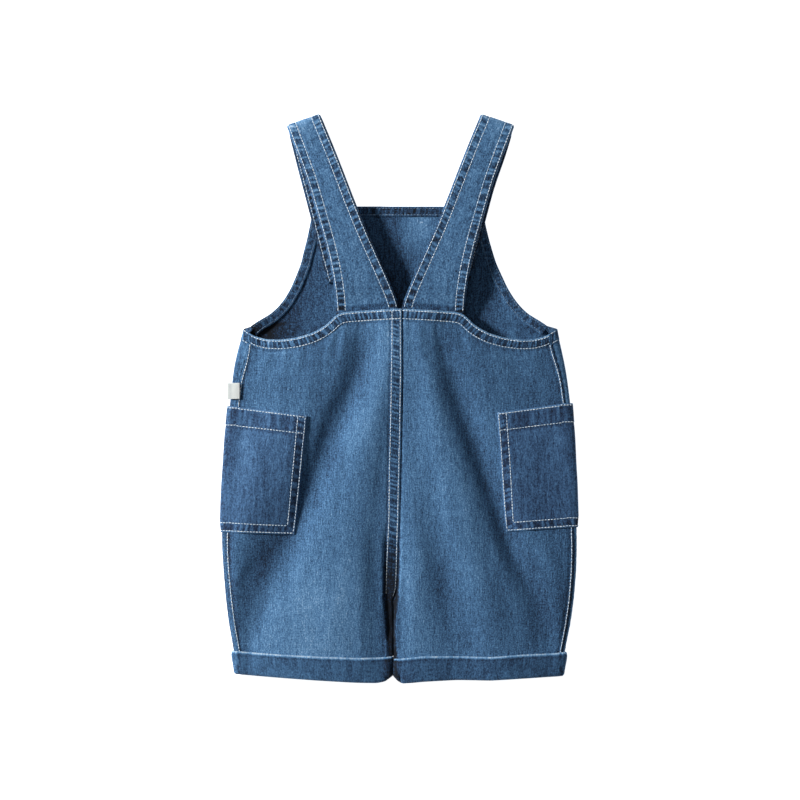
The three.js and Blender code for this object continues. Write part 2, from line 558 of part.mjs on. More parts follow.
// ---------------------------------------------------------------- buttons
// Plain four-hole buttons under the bib; the face with the rim looks down.
function button() {
  const prof = [[0, 0.7], [5.2, 0.7], [6.2, 0.15], [7.2, 0], [8.3, 0.25], [BUTTON_R, 1.0], [BUTTON_R, 1.6], [8.2, BUTTON_T], [0, BUTTON_T]]
    .map(([r, z]) => new THREE.Vector2(r, z));
  const disc = new THREE.LatheGeometry(prof, 20);
  disc.rotateX(Math.PI / 2);
  disc.deleteAttribute('normal'); disc.deleteAttribute('uv');
  const solid = (g) => {
    const m = mergeVertices(g, 1e-4);
    return new wasm.Manifold(new wasm.Mesh({ numProp: 3, vertProperties: new Float32Array(m.attributes.position.array), triVerts: new Uint32Array(m.index.array) }));
  };
  let b = solid(disc);
  for (const [hx, hy] of [[1.7, 1.7], [-1.7, 1.7], [-1.7, -1.7], [1.7, -1.7]]) {
    const c = new THREE.CylinderGeometry(0.95, 0.95, 8, 8);
    c.rotateX(Math.PI / 2); c.translate(hx, hy, 1);
    c.deleteAttribute('normal'); c.deleteAttribute('uv');
    b = b.subtract(solid(c));
  }
  const m = b.getMesh();
  const g = new THREE.BufferGeometry();
  g.setAttribute('position', new THREE.Float32BufferAttribute(m.vertProperties, 3));
  g.setIndex(Array.from(m.triVerts));
  return g;
}
for (const name of ['left', 'right']) {
  const g = button();
  g.computeBoundingBox();
  g.translate(BUTTONS[name][0], BUTTONS[name][1], -g.boundingBox.min.z);
  add('button_' + name, g, plastic);
}

export default root;
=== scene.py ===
"""Looks of the shortalls: thin denim shells on the forms of the CAD solids, with their creases,
turned hems, puckered seams, topstitching, light and camera. Lengths are millimetres until the
meshes are made. x runs to the right, y up towards the straps, z up from the surface."""
import math

import bpy
import numpy as np
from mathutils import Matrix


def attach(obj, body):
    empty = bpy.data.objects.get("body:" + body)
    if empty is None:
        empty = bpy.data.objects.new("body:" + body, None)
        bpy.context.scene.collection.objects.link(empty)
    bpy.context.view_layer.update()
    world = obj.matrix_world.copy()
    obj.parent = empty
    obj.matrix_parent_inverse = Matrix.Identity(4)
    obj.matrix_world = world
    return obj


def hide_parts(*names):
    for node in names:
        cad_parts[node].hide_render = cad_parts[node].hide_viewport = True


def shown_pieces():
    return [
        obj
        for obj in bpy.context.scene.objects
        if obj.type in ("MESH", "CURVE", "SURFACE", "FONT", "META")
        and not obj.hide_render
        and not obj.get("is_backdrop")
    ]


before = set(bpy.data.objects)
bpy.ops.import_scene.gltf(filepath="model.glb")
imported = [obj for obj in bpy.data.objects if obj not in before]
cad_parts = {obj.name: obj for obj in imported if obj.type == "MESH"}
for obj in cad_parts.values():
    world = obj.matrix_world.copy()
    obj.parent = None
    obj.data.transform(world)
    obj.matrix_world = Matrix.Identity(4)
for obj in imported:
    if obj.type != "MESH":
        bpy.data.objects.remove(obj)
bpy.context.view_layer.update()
for left_over in ("Cube", "Light", "Camera"):           # objects of an empty start-up file
    if left_over in bpy.data.objects:
        bpy.data.objects.remove(bpy.data.objects[left_over])

# ------------------------------------------------------------------ sizes
CLOTH, HEM, STRAP, CUFF = 1.2, 1.0, 2.4, 1.6
GAP, SEAM, LIFT, POCKET_LIFT = 0.3, 0.15, 0.4, 0.6
FOLD_UP, FOLD_LOW, INSEAM = 8.5, 4.5, 2.4
CROTCH_Y, CROTCH_RAMP = -165.0, 14.0
BIB_TOP = 154.4
CUFF_BASE, POCKET_BASE = CUFF + LIFT, CLOTH + POCKET_LIFT
SHIFT = np.array([0.05, -0.65, 0.0])        # from these tables to the shared frame
PITCH = 2.5                                 # one topstitch

# y, fold_left, fold_right, seam_left, seam_right
SIDE = np.array([
    [62.0, -123.8, 125.6, -119.2, 119.6], [56.4, -124.4, 126.2, -119.9, 120.0],
    [50.8, -126.4, 127.4, -120.7, 120.6], [39.6, -129.6, 130.0, -121.4, 123.0],
    [27.6, -132.4, 132.6, -124.2, 127.0], [15.6, -134.0, 134.6, -127.8, 130.2],
    [-4.4, -136.0, 137.0, -130.2, 132.8], [-32.4, -138.8, 139.2, -133.8, 135.6],
    [-64.4, -141.0, 140.9, -136.6, 137.6], [-96.4, -142.2, 141.8, -138.6, 138.8],
    [-116.4, -142.4, 142.2, -139.4, 139.6], [-136.4, -141.2, 141.8, -138.2, 139.2],
    [-160.4, -139.2, 139.8, -136.0, 137.4], [-180.4, -136.7, 137.0, -133.4, 134.4],
    [-198.8, -133.2, 133.0, -130.0, 130.8], [-212.0, -131.4, 131.2, -128.2, 128.8],
    [-222.0, -130.4, 129.6, -127.2, 127.2]])
# y, left_leg, right_leg
INNER = np.array([
    [-165.0, -5.5, -5.2], [-180.4, -5.6, -5.2], [-194.0, -5.9, -5.0], [-201.0, -7.3, -2.9],
    [-212.0, -7.7, -2.4], [-218.0, -8.8, -1.2], [-224.0, -10.8, 1.4]])
# y, then x and height of: hip, brow, valley, shoulder and crest of the left half, seam, ridge, dip, crest, brow,
# valley and outer part of the right half
RELIEF = np.array([
    [79.6, -110, 8.4, -54, 11.6, -31, 13.0, -20, 13.8, -9.2, 14.5, 0.8, 14.5, 6, 14.5, 12, 14.6, 19.6, 15.0, 29, 14.4, 40, 13.2, 62, 12.4],
    [43.6, -66, 11.8, -43, 12.4, -26, 9.4, -16, 11.8, -6, 13.6, 0.4, 13.4, 5, 13.2, 9, 13.0, 18, 14.4, 26, 12.9, 38, 10.2, 57, 11.2],
    [-0.4, -86, 11.0, -58, 10.2, -40, 4.4, -30, 9.4, -17, 12.6, -0.4, 11.0, 5, 10.9, 10, 11.0, 28, 13.6, 37, 11.0, 48, 6.0, 68, 9.2],
    [-40.4, -104, 11.0, -75, 8.2, -56, 3.5, -44, 8.6, -28, 12.4, -1.2, 8.8, 6, 9.2, 14, 9.8, 39, 12.8, 50, 10.2, 62, 4.8, 82, 8.4],
    [-80.4, -117, 10.2, -91, 7.0, -70, 3.2, -56, 8.2, -36, 12.0, -2.0, 7.6, 9, 9.4, 22, 9.2, 49, 12.2, 62, 9.6, 76, 4.2, 96, 7.9],
    [-120.4, -133, 9.0, -112, 6.0, -92, 3.2, -75, 7.8, -46, 11.8, -3.2, 7.6, 12, 9.9, 31, 7.7, 58, 11.8, 75, 8.8, 91, 4.0, 108, 7.4],
    [-160.4, -133, 7.8, -126, 6.2, -109, 3.8, -92, 7.4, -54, 11.6, -5.5, 7.8, 12, 10.0, 39, 7.3, 69, 11.2, 92, 8.4, 111, 4.6, 124, 6.8],
    [-196.4, -130, 6.6, -127, 5.8, -123, 5.0, -112, 7.4, -58, 11.2, -5.5, 7.8, 11, 9.9, 48, 7.4, 76, 10.6, 106, 7.8, 121, 5.6, 129, 6.4],
    [-232.4, -130, 6.2, -127, 5.8, -124, 5.4, -112, 7.4, -60, 10.8, -5.5, 7.8, 12, 9.6, 48, 7.4, 80, 10.2, 108, 7.8, 122, 5.8, 130, 6.4]])
# edge_x, edge_y, hem_x, hem_y of the back's top edge, left half
BACK_TOP = np.array([
    [0.8, 72.2, 0.8, 64.6], [-22.0, 71.0, -21.6, 63.4], [-42.0, 69.7, -40.6, 62.0], [-48.6, 68.6, -45.6, 61.3],
    [-52.8, 64.8, -49.2, 58.4], [-56.6, 60.7, -52.6, 54.6], [-62.8, 56.3, -59.6, 49.9], [-70.8, 52.4, -68.2, 45.6],
    [-82.0, 49.2, -80.6, 42.2], [-94.8, 47.4, -94.4, 40.4], [-106.6, 47.8, -107.4, 41.0], [-116.0, 50.4, -117.6, 44.0],
    [-119.9, 53.0, -120.9, 47.0]])
MIRROR = 1.6
# y, left_x, right_x, z_of_edge of the front's armholes
ARMHOLE = np.array([
    [154.4, -69.4, 66.8, 0.0], [145.2, -70.4, 67.8, 0.0], [138.8, -71.6, 68.8, 0.0], [127.6, -74.0, 71.6, 0.0],
    [118.0, -76.6, 74.4, 0.0], [109.2, -78.6, 77.2, 0.0], [100.4, -82.0, 81.2, 0.0], [89.2, -86.8, 86.4, 0.0],
    [80.8, -91.6, 91.6, 0.0], [74.4, -96.6, 96.6, 0.2], [68.4, -103.1, 102.8, 0.8], [62.4, -113.0, 112.4, 3.4]])
# y, height of the bib over the buttons
BIB_RISE = np.array([[92.0, 0.0], [109.2, 0.8], [118.0, 1.7], [127.6, 2.6], [145.2, 2.6], [154.4, 1.6]])
# outer_x, outer_y, inner_x, inner_y, outer_z, inner_z (middle of the cloth)
STRAP_UP = np.array([
    [-49.9, 64.0, 0.2, 66.4, 0, 0], [-50.1, 73.2, -0.4, 75.6, 0, 0], [-50.9, 84.4, -8.8, 94.8, 12.4, 13.6],
    [-53.8, 103.6, -18.8, 117.2, 14.6, 15.4], [-58.8, 125.2, -28.4, 138.4, 15.6, 15.8],
    [-65.6, 148.8, -37.4, 161.0, 15.2, 15.0], [-73.4, 175.6, -46.6, 185.2, 12.8, 12.8],
    [-81.3, 196.8, -54.6, 205.4, 10.2, 10.2], [-88.0, 214.4, -62.1, 223.3, 8.6, 8.6]])
TURN_Z, TURN_R = 5.1, 3.5
STRAP_DOWN = np.array([
    [-87.2, 210.0, -61.2, 219.2, 1.7, 1.7], [-83.6, 195.6, -57.6, 203.6, 1.7, 1.7], [-79.6, 179.6, -53.6, 187.0, 1.7, 1.7], [-76.4, 168.0, -50.4, 175.4, 2.6, 2.4],
    [-73.6, 157.4, -47.5, 164.6, 5.6, 5.2], [-71.8, 150.4, -45.8, 157.4, 6.6, 6.2], [-69.7, 142.8, -43.6, 149.6, 6.8, 6.5],
    [-66.4, 129.6, -40.4, 136.4, 6.7, 6.2], [-63.2, 116.4, -37.2, 123.2, 5.7, 5.5], [-60.0, 104.4, -34.2, 111.2, 4.2, 4.5],
    [-57.0, 93.2, -31.2, 100.0, 3.2, 3.4]])
RIGHT_DOWN_SHIFT = -3.2
POCKET = {-1: dict(cx=-74.2, cy=-13.2, fx=-84.4, fy=-108.1, fold=-5.8, sole=-106.0),
          1: dict(cx=78.2, cy=-10.8, fx=85.6, fy=-105.6, fold=-3.4, sole=-102.0)}
POCKET_REACH, POCKET_RISE = 42.0, 4.0
# x, top, bottom
CUFF_EDGE = {
    -1: np.array([[-136.0, -201.4, -218.8], [-124.0, -202.6, -219.8], [-93.4, -204.6, -222.0], [-64.4, -206.0, -224.0],
                  [-35.2, -207.2, -225.8], [-18.0, -207.2, -226.4], [-11.0, -206.8, -225.0], [-5.0, -206.2, -219.6]]),
    1: np.array([[-5.0, -208.6, -220.0], [1.0, -207.8, -226.8], [19.1, -205.8, -225.0], [45.6, -206.0, -223.8],
                 [73.2, -206.4, -224.0], [98.0, -204.6, -222.6], [124.7, -203.8, -221.2], [136.0, -202.2, -220.4]])}
LABEL = dict(x0=-137.6, x1=-127.9, y0=0.6, y1=13.0, t=1.0)
BUTTONS = {-1: (-54.4, 136.0), 1: (52.8, 136.0)}
# the two rows of stitches of the centre-back seam: y, left_row, right_row
CENTRE = np.array([
    [72.4, -5.8, 0.7], [40.0, -5.9, 0.8], [15.6, -6.4, 0.8], [-30.0, -7.2, 0.1], [-55.6, -8.0, -0.5],
    [-96.4, -8.3, -1.4], [-112.4, -9.2, -2.0], [-145.2, -10.5, -2.8], [-158.0, -11.0, -3.6], [-166.0, -11.2, -4.4]])

# ------------------------------------------------------------------ helpers
D2R = math.pi / 180


def clamp01(t):
    return np.clip(t, 0.0, 1.0)


def ease(t):
    t = clamp01(t)
    return t * t * (3 - 2 * t)


def lerp(a, b, t):
    return a + (b - a) * t


def gauss(d, w):
    return np.exp(-0.5 * (d / w) ** 2)


def look(tab, key, col):
    t = tab[np.argsort(tab[:, 0])]
    return np.interp(key, t[:, 0], t[:, col])


def smooth1(v, w):
    """Gaussian blur of a 1-D array (axis 0), ends carried on straight."""
    n = max(1, int(3 * w))
    k = np.exp(-0.5 * (np.arange(-n, n + 1) / w) ** 2)
    k /= k.sum()
    v = np.asarray(v, float)
    flat = v.reshape(len(v), -1)
    out = np.empty_like(flat)
    for c in range(flat.shape[1]):
        f = flat[:, c]
        head = 2 * f[0] - f[min(n, len(f) - 1):0:-1]
        tail = 2 * f[-1] - f[-2:-2 - min(n, len(f) - 1):-1]
        pad = np.concatenate([np.full(n - len(head), head[0] if len(head) else f[0]), head, f, tail,
                              np.full(n - len(tail), tail[-1] if len(tail) else f[-1])])
        out[:, c] = np.convolve(pad, k, "valid")
    return out.reshape(v.shape)


class Curve:
    """A table column as a smooth function of its key."""

    def __init__(self, tab, col, blur=4.0, lo=-245, hi=165):
        self.k = np.arange(lo, hi, 0.5)
        self.v = smooth1(look(tab, self.k, col), blur / 0.5)

    def __call__(self, key):
        return np.interp(key, self.k, self.v)


_fold = {-1: Curve(SIDE, 1), 1: Curve(SIDE, 2)}
_seam = {-1: Curve(SIDE, 3, 5.0), 1: Curve(SIDE, 4, 5.0)}
_inner = {-1: Curve(INNER, 1, 2.0), 1: Curve(INNER, 2, 2.0)}
# on the outside the two legs touch down to the cuffs, and inside the cuffs they draw apart
_k = _inner[-1].k
_inner[-1].v = lerp(_inner[-1].v, -4.85, ease((-160 - _k) / 6) * ease((_k + 206.9) / 1.5))
_inner[1].v = lerp(_inner[1].v, -5.00, ease((-160 - _k) / 6) * ease((_k + 208.9) / 1.5))
_row_l, _row_r = Curve(CENTRE, 1, 6.0), Curve(CENTRE, 2, 6.0)
_bib = Curve(BIB_RISE, 1, 3.0)


def fold_x(y, s):
    return _fold[s](y)


def seam_x(y, s):
    return _seam[s](y)


def legs(y):
    return ease((CROTCH_Y + CROTCH_RAMP - y) / CROTCH_RAMP)


def centre_x(y):
    """Where the two halves of the back meet."""
    w = ease((-150.0 - y) / 14.0)
    return lerp(_row_r(y) + 1.1, -5.35, w)


def inner_x(y, s):
    return np.where(y > CROTCH_Y, centre_x(y), _inner[s](y))


def bib_rise(y):
    return np.where(y > 88, _bib(y), 0.0)


def base(x, y):
    """Lower face of the front layer."""
    x, y = np.broadcast_arrays(x, y)
    hem = ease((-186 - y) / 13) * CUFF_BASE
    in_x = ease((np.abs(x) - 80) / 15)
    in_y = ease((16 - y) / 13) * ease((y + 124) / 14)
    return np.maximum(np.maximum(bib_rise(y), hem), POCKET_BASE * in_x * in_y)


# value noise, the same on every run
_rng = np.random.default_rng(20417)
_LAT = _rng.random((16, 128, 128))


def noise2(x, y, scale, seed):
    """Smooth noise from -1 to 1 with features about scale mm wide; scale may be (sx, sy)."""
    sx, sy = scale if isinstance(scale, tuple) else (scale, scale)
    g = _LAT[seed % 16]
    u, v = np.asarray(x) / sx + 13.7 * seed, np.asarray(y) / sy + 7.3 * seed
    i, j = np.floor(u).astype(int), np.floor(v).astype(int)
    fu, fv = u - i, v - j
    fu, fv = fu * fu * (3 - 2 * fu), fv * fv * (3 - 2 * fv)
    i0, i1, j0, j1 = i % 128, (i + 1) % 128, j % 128, (j + 1) % 128
    a = lerp(g[i0, j0], g[i1, j0], fu)
    b = lerp(g[i0, j1], g[i1, j1], fu)
    return lerp(a, b, fv) * 2 - 1


def rope(a, seed, pitch=5.6, width=0.95):
    """Puckers along a seam: narrow raised ridges with wider hollows between them, -1 to 1."""
    r = np.random.default_rng(7000 + seed)
    n = int(900 / pitch)
    p = np.cumsum(pitch * (1 + 0.55 * (r.random(n) - 0.5))) - 150
    amp = 0.55 + 0.45 * r.random(n)
    g = np.arange(-150, 750, 0.2)
    v = np.zeros_like(g)
    for q, m in zip(p, amp):
        lo, hi = np.searchsorted(g, [q - 5, q + 5])
        v[lo:hi] = np.maximum(v[lo:hi], m * gauss(g[lo:hi] - q, width))
    return np.interp(a, g, 1.75 * v - 0.75)


# ------------------------------------------------------------------ relief of the back
GX = np.arange(-152, 152.01, 0.5)
GY = np.arange(-242, 94.01, 0.5)


def blur2(z, sx, sy):
    return smooth1(smooth1(z, sy / 0.5).T, sx / 0.5).T


def line_field(points, margin):
    """Distance to a polyline and the way along it (0 to 1) over the part of the grid near it."""
    p = np.array(points, float)
    lo, hi = p.min(0) - margin, p.max(0) + margin
    i0, i1 = np.searchsorted(GY, [lo[1], hi[1]])
    j0, j1 = np.searchsorted(GX, [lo[0], hi[0]])
    X, Y = np.meshgrid(GX[j0:j1], GY[i0:i1])
    seg = np.diff(p, axis=0)
    length = np.hypot(seg[:, 0], seg[:, 1])
    total, run = length.sum(), 0.0
    best = np.full(X.shape, 1e9)
    side = np.zeros(X.shape)
    way = np.zeros(X.shape)
    for a, d, m in zip(p[:-1], seg, length):
        t = clamp01(((X - a[0]) * d[0] + (Y - a[1]) * d[1]) / (m * m))
        ex, ey = X - a[0] - t * d[0], Y - a[1] - t * d[1]
        r = np.hypot(ex, ey)
        new = r < best
        best = np.where(new, r, best)
        side = np.where(new, np.sign(d[0] * ey - d[1] * ex), side)
        way = np.where(new, (run + t * m) / total, way)
        run += m
    return (slice(i0, i1), slice(j0, j1)), best * side, way


# Creases laid one by one: points, width, height (ridge above 0, trough below), where it is strongest (0 to 1)
CREASES = [
    # soft puckers that hang from the yoke's hem and its corners
    ([(-52, 56), (-57, 40), (-61, 18)], 2.2, 0.55, 0.2),
    ([(-47, 58), (-50, 44), (-52, 30)], 2.0, -0.35, 0.2),
    ([(-44, 60), (-45, 44), (-49, 22)], 2.6, 0.35, 0.3),
    ([(-30, 62), (-33, 48), (-40, 26)], 2.4, -0.45, 0.2),
    ([(-24, 62), (-24, 50), (-28, 34)], 2.2, 0.30, 0.2),
    ([(-12, 63), (-13, 52), (-17, 36)], 2.0, 0.35, 0.2),
    ([(14, 63), (14, 50), (16, 30)], 2.4, 0.40, 0.2),
    ([(20, 63), (22, 46), (27, 18)], 2.8, -0.40, 0.3),
    ([(29, 62), (32, 46), (38, 16)], 2.4, -0.55, 0.3),
    ([(38, 62), (43, 46), (52, 20)], 2.6, 0.35, 0.3),
    ([(50, 58), (57, 44), (66, 22)], 2.4, 0.40, 0.2),
    ([(46, 60), (50, 48), (55, 32)], 2.0, -0.30, 0.2),
    # the left half: the long trough has a second, weaker line, and small folds run into it
    ([(-66, 40), (-74, 5), (-88, -50), (-104, -110)], 6.0, 0.7, 0.4),
    ([(-46, 22), (-60, -30), (-76, -90), (-96, -140)], 4.0, -0.7, 0.5),
    ([(-30, 30), (-42, -20), (-56, -76), (-80, -150), (-108, -196)], 5.0, 0.6, 0.5),
    ([(-18, -40), (-24, -90), (-30, -150), (-34, -198)], 6.5, 0.5, 0.6),
    ([(-12, -20), (-16, -70), (-20, -120), (-22, -170)], 4.5, -0.55, 0.7),
    ([(-100, -112), (-112, -132), (-126, -150)], 5.0, -0.8, 0.4),
    ([(-88, -118), (-96, -140), (-112, -170)], 4.0, 0.5, 0.5),
    ([(-120, -120), (-128, -138), (-134, -160)], 3.6, 0.5, 0.5),
    ([(-64, -150), (-70, -175), (-72, -202)], 6.0, -0.4, 0.6),
    ([(-48, -140), (-52, -170), (-52, -202)], 5.0, 0.35, 0.6),
    # the right half
    ([(20, 20), (28, -30), (40, -90), (56, -150), (64, -200)], 5.0, 0.5, 0.5),
    ([(46, 20), (60, -20), (74, -70), (92, -125), (116, -176)], 4.0, -0.8, 0.5),
    ([(58, 10), (74, -30), (92, -88)], 6.0, 0.55, 0.4),
    ([(70, -100), (86, -140), (104, -176)], 5.0, 0.6, 0.5),
    ([(12, -60), (16, -110), (14, -150), (10, -198)], 5.0, 0.35, 0.7),
    ([(28, -100), (32, -130), (40, -170), (50, -202)], 5.4, -0.45, 0.6),
    ([(84, -150), (90, -178), (92, -202)], 5.0, -0.4, 0.6),
    ([(108, -112), (122, -130), (132, -156)], 4.0, 0.5, 0.4),
    ([(98, -108), (108, -128), (124, -150)], 3.6, -0.55, 0.4),
    # beside the pockets' inner edges and from the armholes
    ([(-90, 40), (-92, 26), (-96, 8)], 3.0, 0.35, 0.2),
    ([(-74, 44), (-76, 30), (-82, 6)], 3.4, -0.35, 0.3),
    ([(-104, 38), (-110, 22), (-118, 4)], 3.0, 0.35, 0.3),
    ([(74, 44), (80, 26), (90, 4)], 3.6, 0.35, 0.3),
    ([(88, 40), (94, 26), (104, 8)], 3.2, -0.35, 0.3),
    ([(104, 38), (110, 22), (116, 6)], 3.0, 0.30, 0.3),
    ([(-70, -14), (-74, -60), (-84, -112)], 3.0, -0.25, 0.5),
    ([(72, -14), (78, -60), (84, -112)], 3.0, -0.4, 0.5),
]


def through(xs, zs, x):
    """A smooth curve through the points, with no overshoot."""
    h, d = np.diff(xs), np.diff(zs) / np.diff(xs)
    m = np.zeros(len(xs))
    same = d[:-1] * d[1:] > 0
    w1, w2 = 2 * h[1:] + h[:-1], h[1:] + 2 * h[:-1]
    m[1:-1][same] = ((w1 + w2) / (w1 / np.where(same, d[:-1], 1) + w2 / np.where(same, d[1:], 1)))[same]
    k = np.clip(np.searchsorted(xs, x), 1, len(xs) - 1)
    t = clamp01((x - xs[k - 1]) / h[k - 1])
    a, b = zs[k - 1], zs[k]
    return ((1 + 2 * t) * (1 - t) ** 2 * a + t * (1 - t) ** 2 * h[k - 1] * m[k - 1]
            + t * t * (3 - 2 * t) * b + t * t * (t - 1) * h[k - 1] * m[k])


def build_relief():
    xs_all = RELIEF[:, 1::2]
    Z = np.zeros((len(GY), len(GX)))
    cols = [(Curve(RELIEF, c, 7.0), Curve(RELIEF, c + 1, 7.0)) for c in range(1, xs_all.shape[1] * 2, 2)]
    for i, y in enumerate(GY):
        e, f = float(fold_x(y, -1)) + 3, float(fold_x(y, 1)) - 3
        st = [(float(cx(y)), float(cz(y))) for cx, cz in cols]
        st = [(e, 6.6)] + [p for p in st if e + 2 < p[0] < f - 2] + [(f, 5.7)]
        xs, zs = np.array(st).T
        Z[i] = through(xs, zs, GX)
    Z = blur2(Z, 2.2, 5.0)
    for pts, w, h, peak in CREASES:
        at, d, t = line_field(pts, 3.2 * w)
        rise = np.where(t < peak, t / peak, (1 - t) / (1 - peak))
        wid = w * (0.75 + 0.5 * t)
        Z[at] += h * gauss(d, wid) * ease(rise * 1.25 + 0.05)
    X, Y = np.meshgrid(GX, GY)
    # nothing in cloth is quite smooth
    body = ease((66 - Y) / 20)
    Z += body * (0.30 * noise2(X, Y, (16, 46), 1) + 0.13 * noise2(X, Y, (7, 24), 2) + 0.05 * noise2(X, Y, (3.4, 9), 3))
    # between the legs the cloth dips to the front layer
    c = ease((-92 - Y) / 50)
    left0 = np.interp(GY, [-240, -205, -180, -160, -130, -100], [-9.0, -9.6, -10.6, -11.8, -12.4, -12.0])[:, None]
    right0 = np.interp(GY, [-240, -212, -206, -200, -190, -185, -174, -157, -130, -100],
                       [-3.4, -2.8, -2.4, -3.4, -5.2, -5.2, -4.0, -2.0, -0.8, 0.0])[:, None]
    dl = ease((X - left0 + 2.6) / 4.2)          # left wall, falling to the right
    dr = ease((right0 + 2.2 - X) / 3.0)         # right wall, falling to the left
    slope = 0.45 * ease((X - left0 + 24) / 22) * (X < left0 + 6)
    floor = 2.95 + 2.0 * ease((-184 - Y) / 13)
    Z = Z - c * slope * 5.6 * (1 - dl * dr)
    return lerp(Z, floor, c * dl * dr)


ZB = build_relief()


def samp(Z, x, y):
    u, v = (np.asarray(x) - GX[0]) / 0.5, (np.asarray(y) - GY[0]) / 0.5
    u, v = np.clip(u, 0, len(GX) - 1.001), np.clip(v, 0, len(GY) - 1.001)
    i, j = v.astype(int), u.astype(int)
    fv, fu = v - i, u - j
    return (Z[i, j] * (1 - fu) + Z[i, j + 1] * fu) * (1 - fv) + (Z[i + 1, j] * (1 - fu) + Z[i + 1, j + 1] * fu) * fv


def relief(x, y):
    return samp(ZB, x, y)


def fold_mid(y, s):
    x = fold_x(y, s) - s * 3
    b = base(x, y)
    return (b + np.maximum(relief(x, y), b + 4.2)) / 2


def inner_mid(y, s, face):
    x = inner_x(y, s)
    b = base(x, y)
    return (b + np.maximum(relief(x, y), b + 2.7 + GAP)) / 2 + face * SEAM


def upper(x, y, s, leg=True):
    """Outer face of the back layer at (x, y), rounded at the side fold and inside the leg."""
    flat = relief(x, y)
    d = np.abs(x - fold_x(y, s))
    w = np.where(d < FOLD_UP, np.sin(np.arccos(np.clip(1 - d / FOLD_UP, -1, 1))), 1.0)
    z = lerp(fold_mid(y, s), flat, w)
    if leg:
        di = np.abs(x - inner_x(y, s))
        wi = np.where(di < INSEAM, 1 - np.sin(np.arccos(np.clip(1 - di / INSEAM, -1, 1))), 0.0)
        z = lerp(z, inner_mid(y, s, 1), legs(y) * wi)
    return z


# ------------------------------------------------------------------ meshes
def quad_normals(P, Q):
    n = np.zeros_like(P)
    m = np.cross(P[Q[:, 2]] - P[Q[:, 0]], P[Q[:, 3]] - P[Q[:, 1]])
    for k in range(4):
        np.add.at(n, Q[:, k], m)
    length = np.linalg.norm(n, axis=1)
    n[length < 1e-12] = (0, 0, 1)
    length[length < 1e-12] = 1
    return n / length[:, None]


def grid_quads(R, C, ring=False, start=0):
    i, j = np.meshgrid(np.arange(R - 1), np.arange(C if ring else C - 1), indexing="ij")
    k = (j + 1) % C
    q = np.stack([i * C + j, (i + 1) * C + j, (i + 1) * C + k, i * C + k], -1).reshape(-1, 4)
    return q + start


class Net:
    """A grid of points, its outward normals, and a coordinate in mm along each of its ways."""

    def __init__(self, P, rows, cols, ring=False):
        self.P = np.asarray(P, float)
        self.rows, self.cols, self.ring = np.asarray(rows, float), np.asarray(cols, float), ring
        R, C = self.P.shape[:2]
        self.Q = grid_quads(R, C, ring)
        self.flip = False
        self.normals()

    def normals(self):
        q = self.Q[:, ::-1] if self.flip else self.Q
        self.N = quad_normals(self.P.reshape(-1, 3), q).reshape(self.P.shape)

    def face(self, up=None):
        """Turns the net over if its normals don't point up (or as told) on the whole."""
        if up is None:
            up = self.N[..., 2].sum() > 0
        if not up:
            self.flip = not self.flip
            self.normals()
        return self

    def quads(self):
        return self.Q[:, ::-1] if self.flip else self.Q

    def at(self, r, c, offset=0.0):
        """Point and normal at the row coordinate r and the column coordinate c."""
        u = np.interp(r, self.rows, np.arange(len(self.rows)))
        v = np.interp(c, self.cols, np.arange(len(self.cols)))
        i = np.clip(u.astype(int), 0, self.P.shape[0] - 2)
        j = np.clip(v.astype(int), 0, self.P.shape[1] - 2)
        fu, fv = (u - i)[:, None], (v - j)[:, None]

        def mix(A):
            return (A[i, j] * (1 - fv) + A[i, j + 1] * fv) * (1 - fu) + (A[i + 1, j] * (1 - fv) + A[i + 1, j + 1] * fv) * fu

        n = mix(self.N)
        n /= np.linalg.norm(n, axis=1)[:, None]
        return mix(self.P) + n * offset, n


def to_mesh(name, V, Q, uv=None, attrs=None, smooth=True):
    me = bpy.data.meshes.new(name)
    co = ((V + SHIFT) * 0.001).astype(np.float32)
    me.vertices.add(len(co))
    me.vertices.foreach_set("co", co.ravel())
    me.loops.add(4 * len(Q))
    me.loops.foreach_set("vertex_index", Q.astype(np.int32).ravel())
    me.polygons.add(len(Q))
    me.polygons.foreach_set("loop_start", (np.arange(len(Q)) * 4).astype(np.int32))
    me.update(calc_edges=True)
    me.polygons.foreach_set("use_smooth", np.full(len(Q), smooth))
    if uv is not None:
        layer = me.uv_layers.new(name="cloth")
        layer.data.foreach_set("uv", (uv[Q.ravel()] * 0.001).astype(np.float32).ravel())
    for key, val in (attrs or {}).items():
        a = me.attributes.new(key, "FLOAT", "POINT")
        a.data.foreach_set("value", np.asarray(val, np.float32))
    me.update()
    obj = bpy.data.objects.new(name, me)
    bpy.context.scene.collection.objects.link(obj)
    return obj


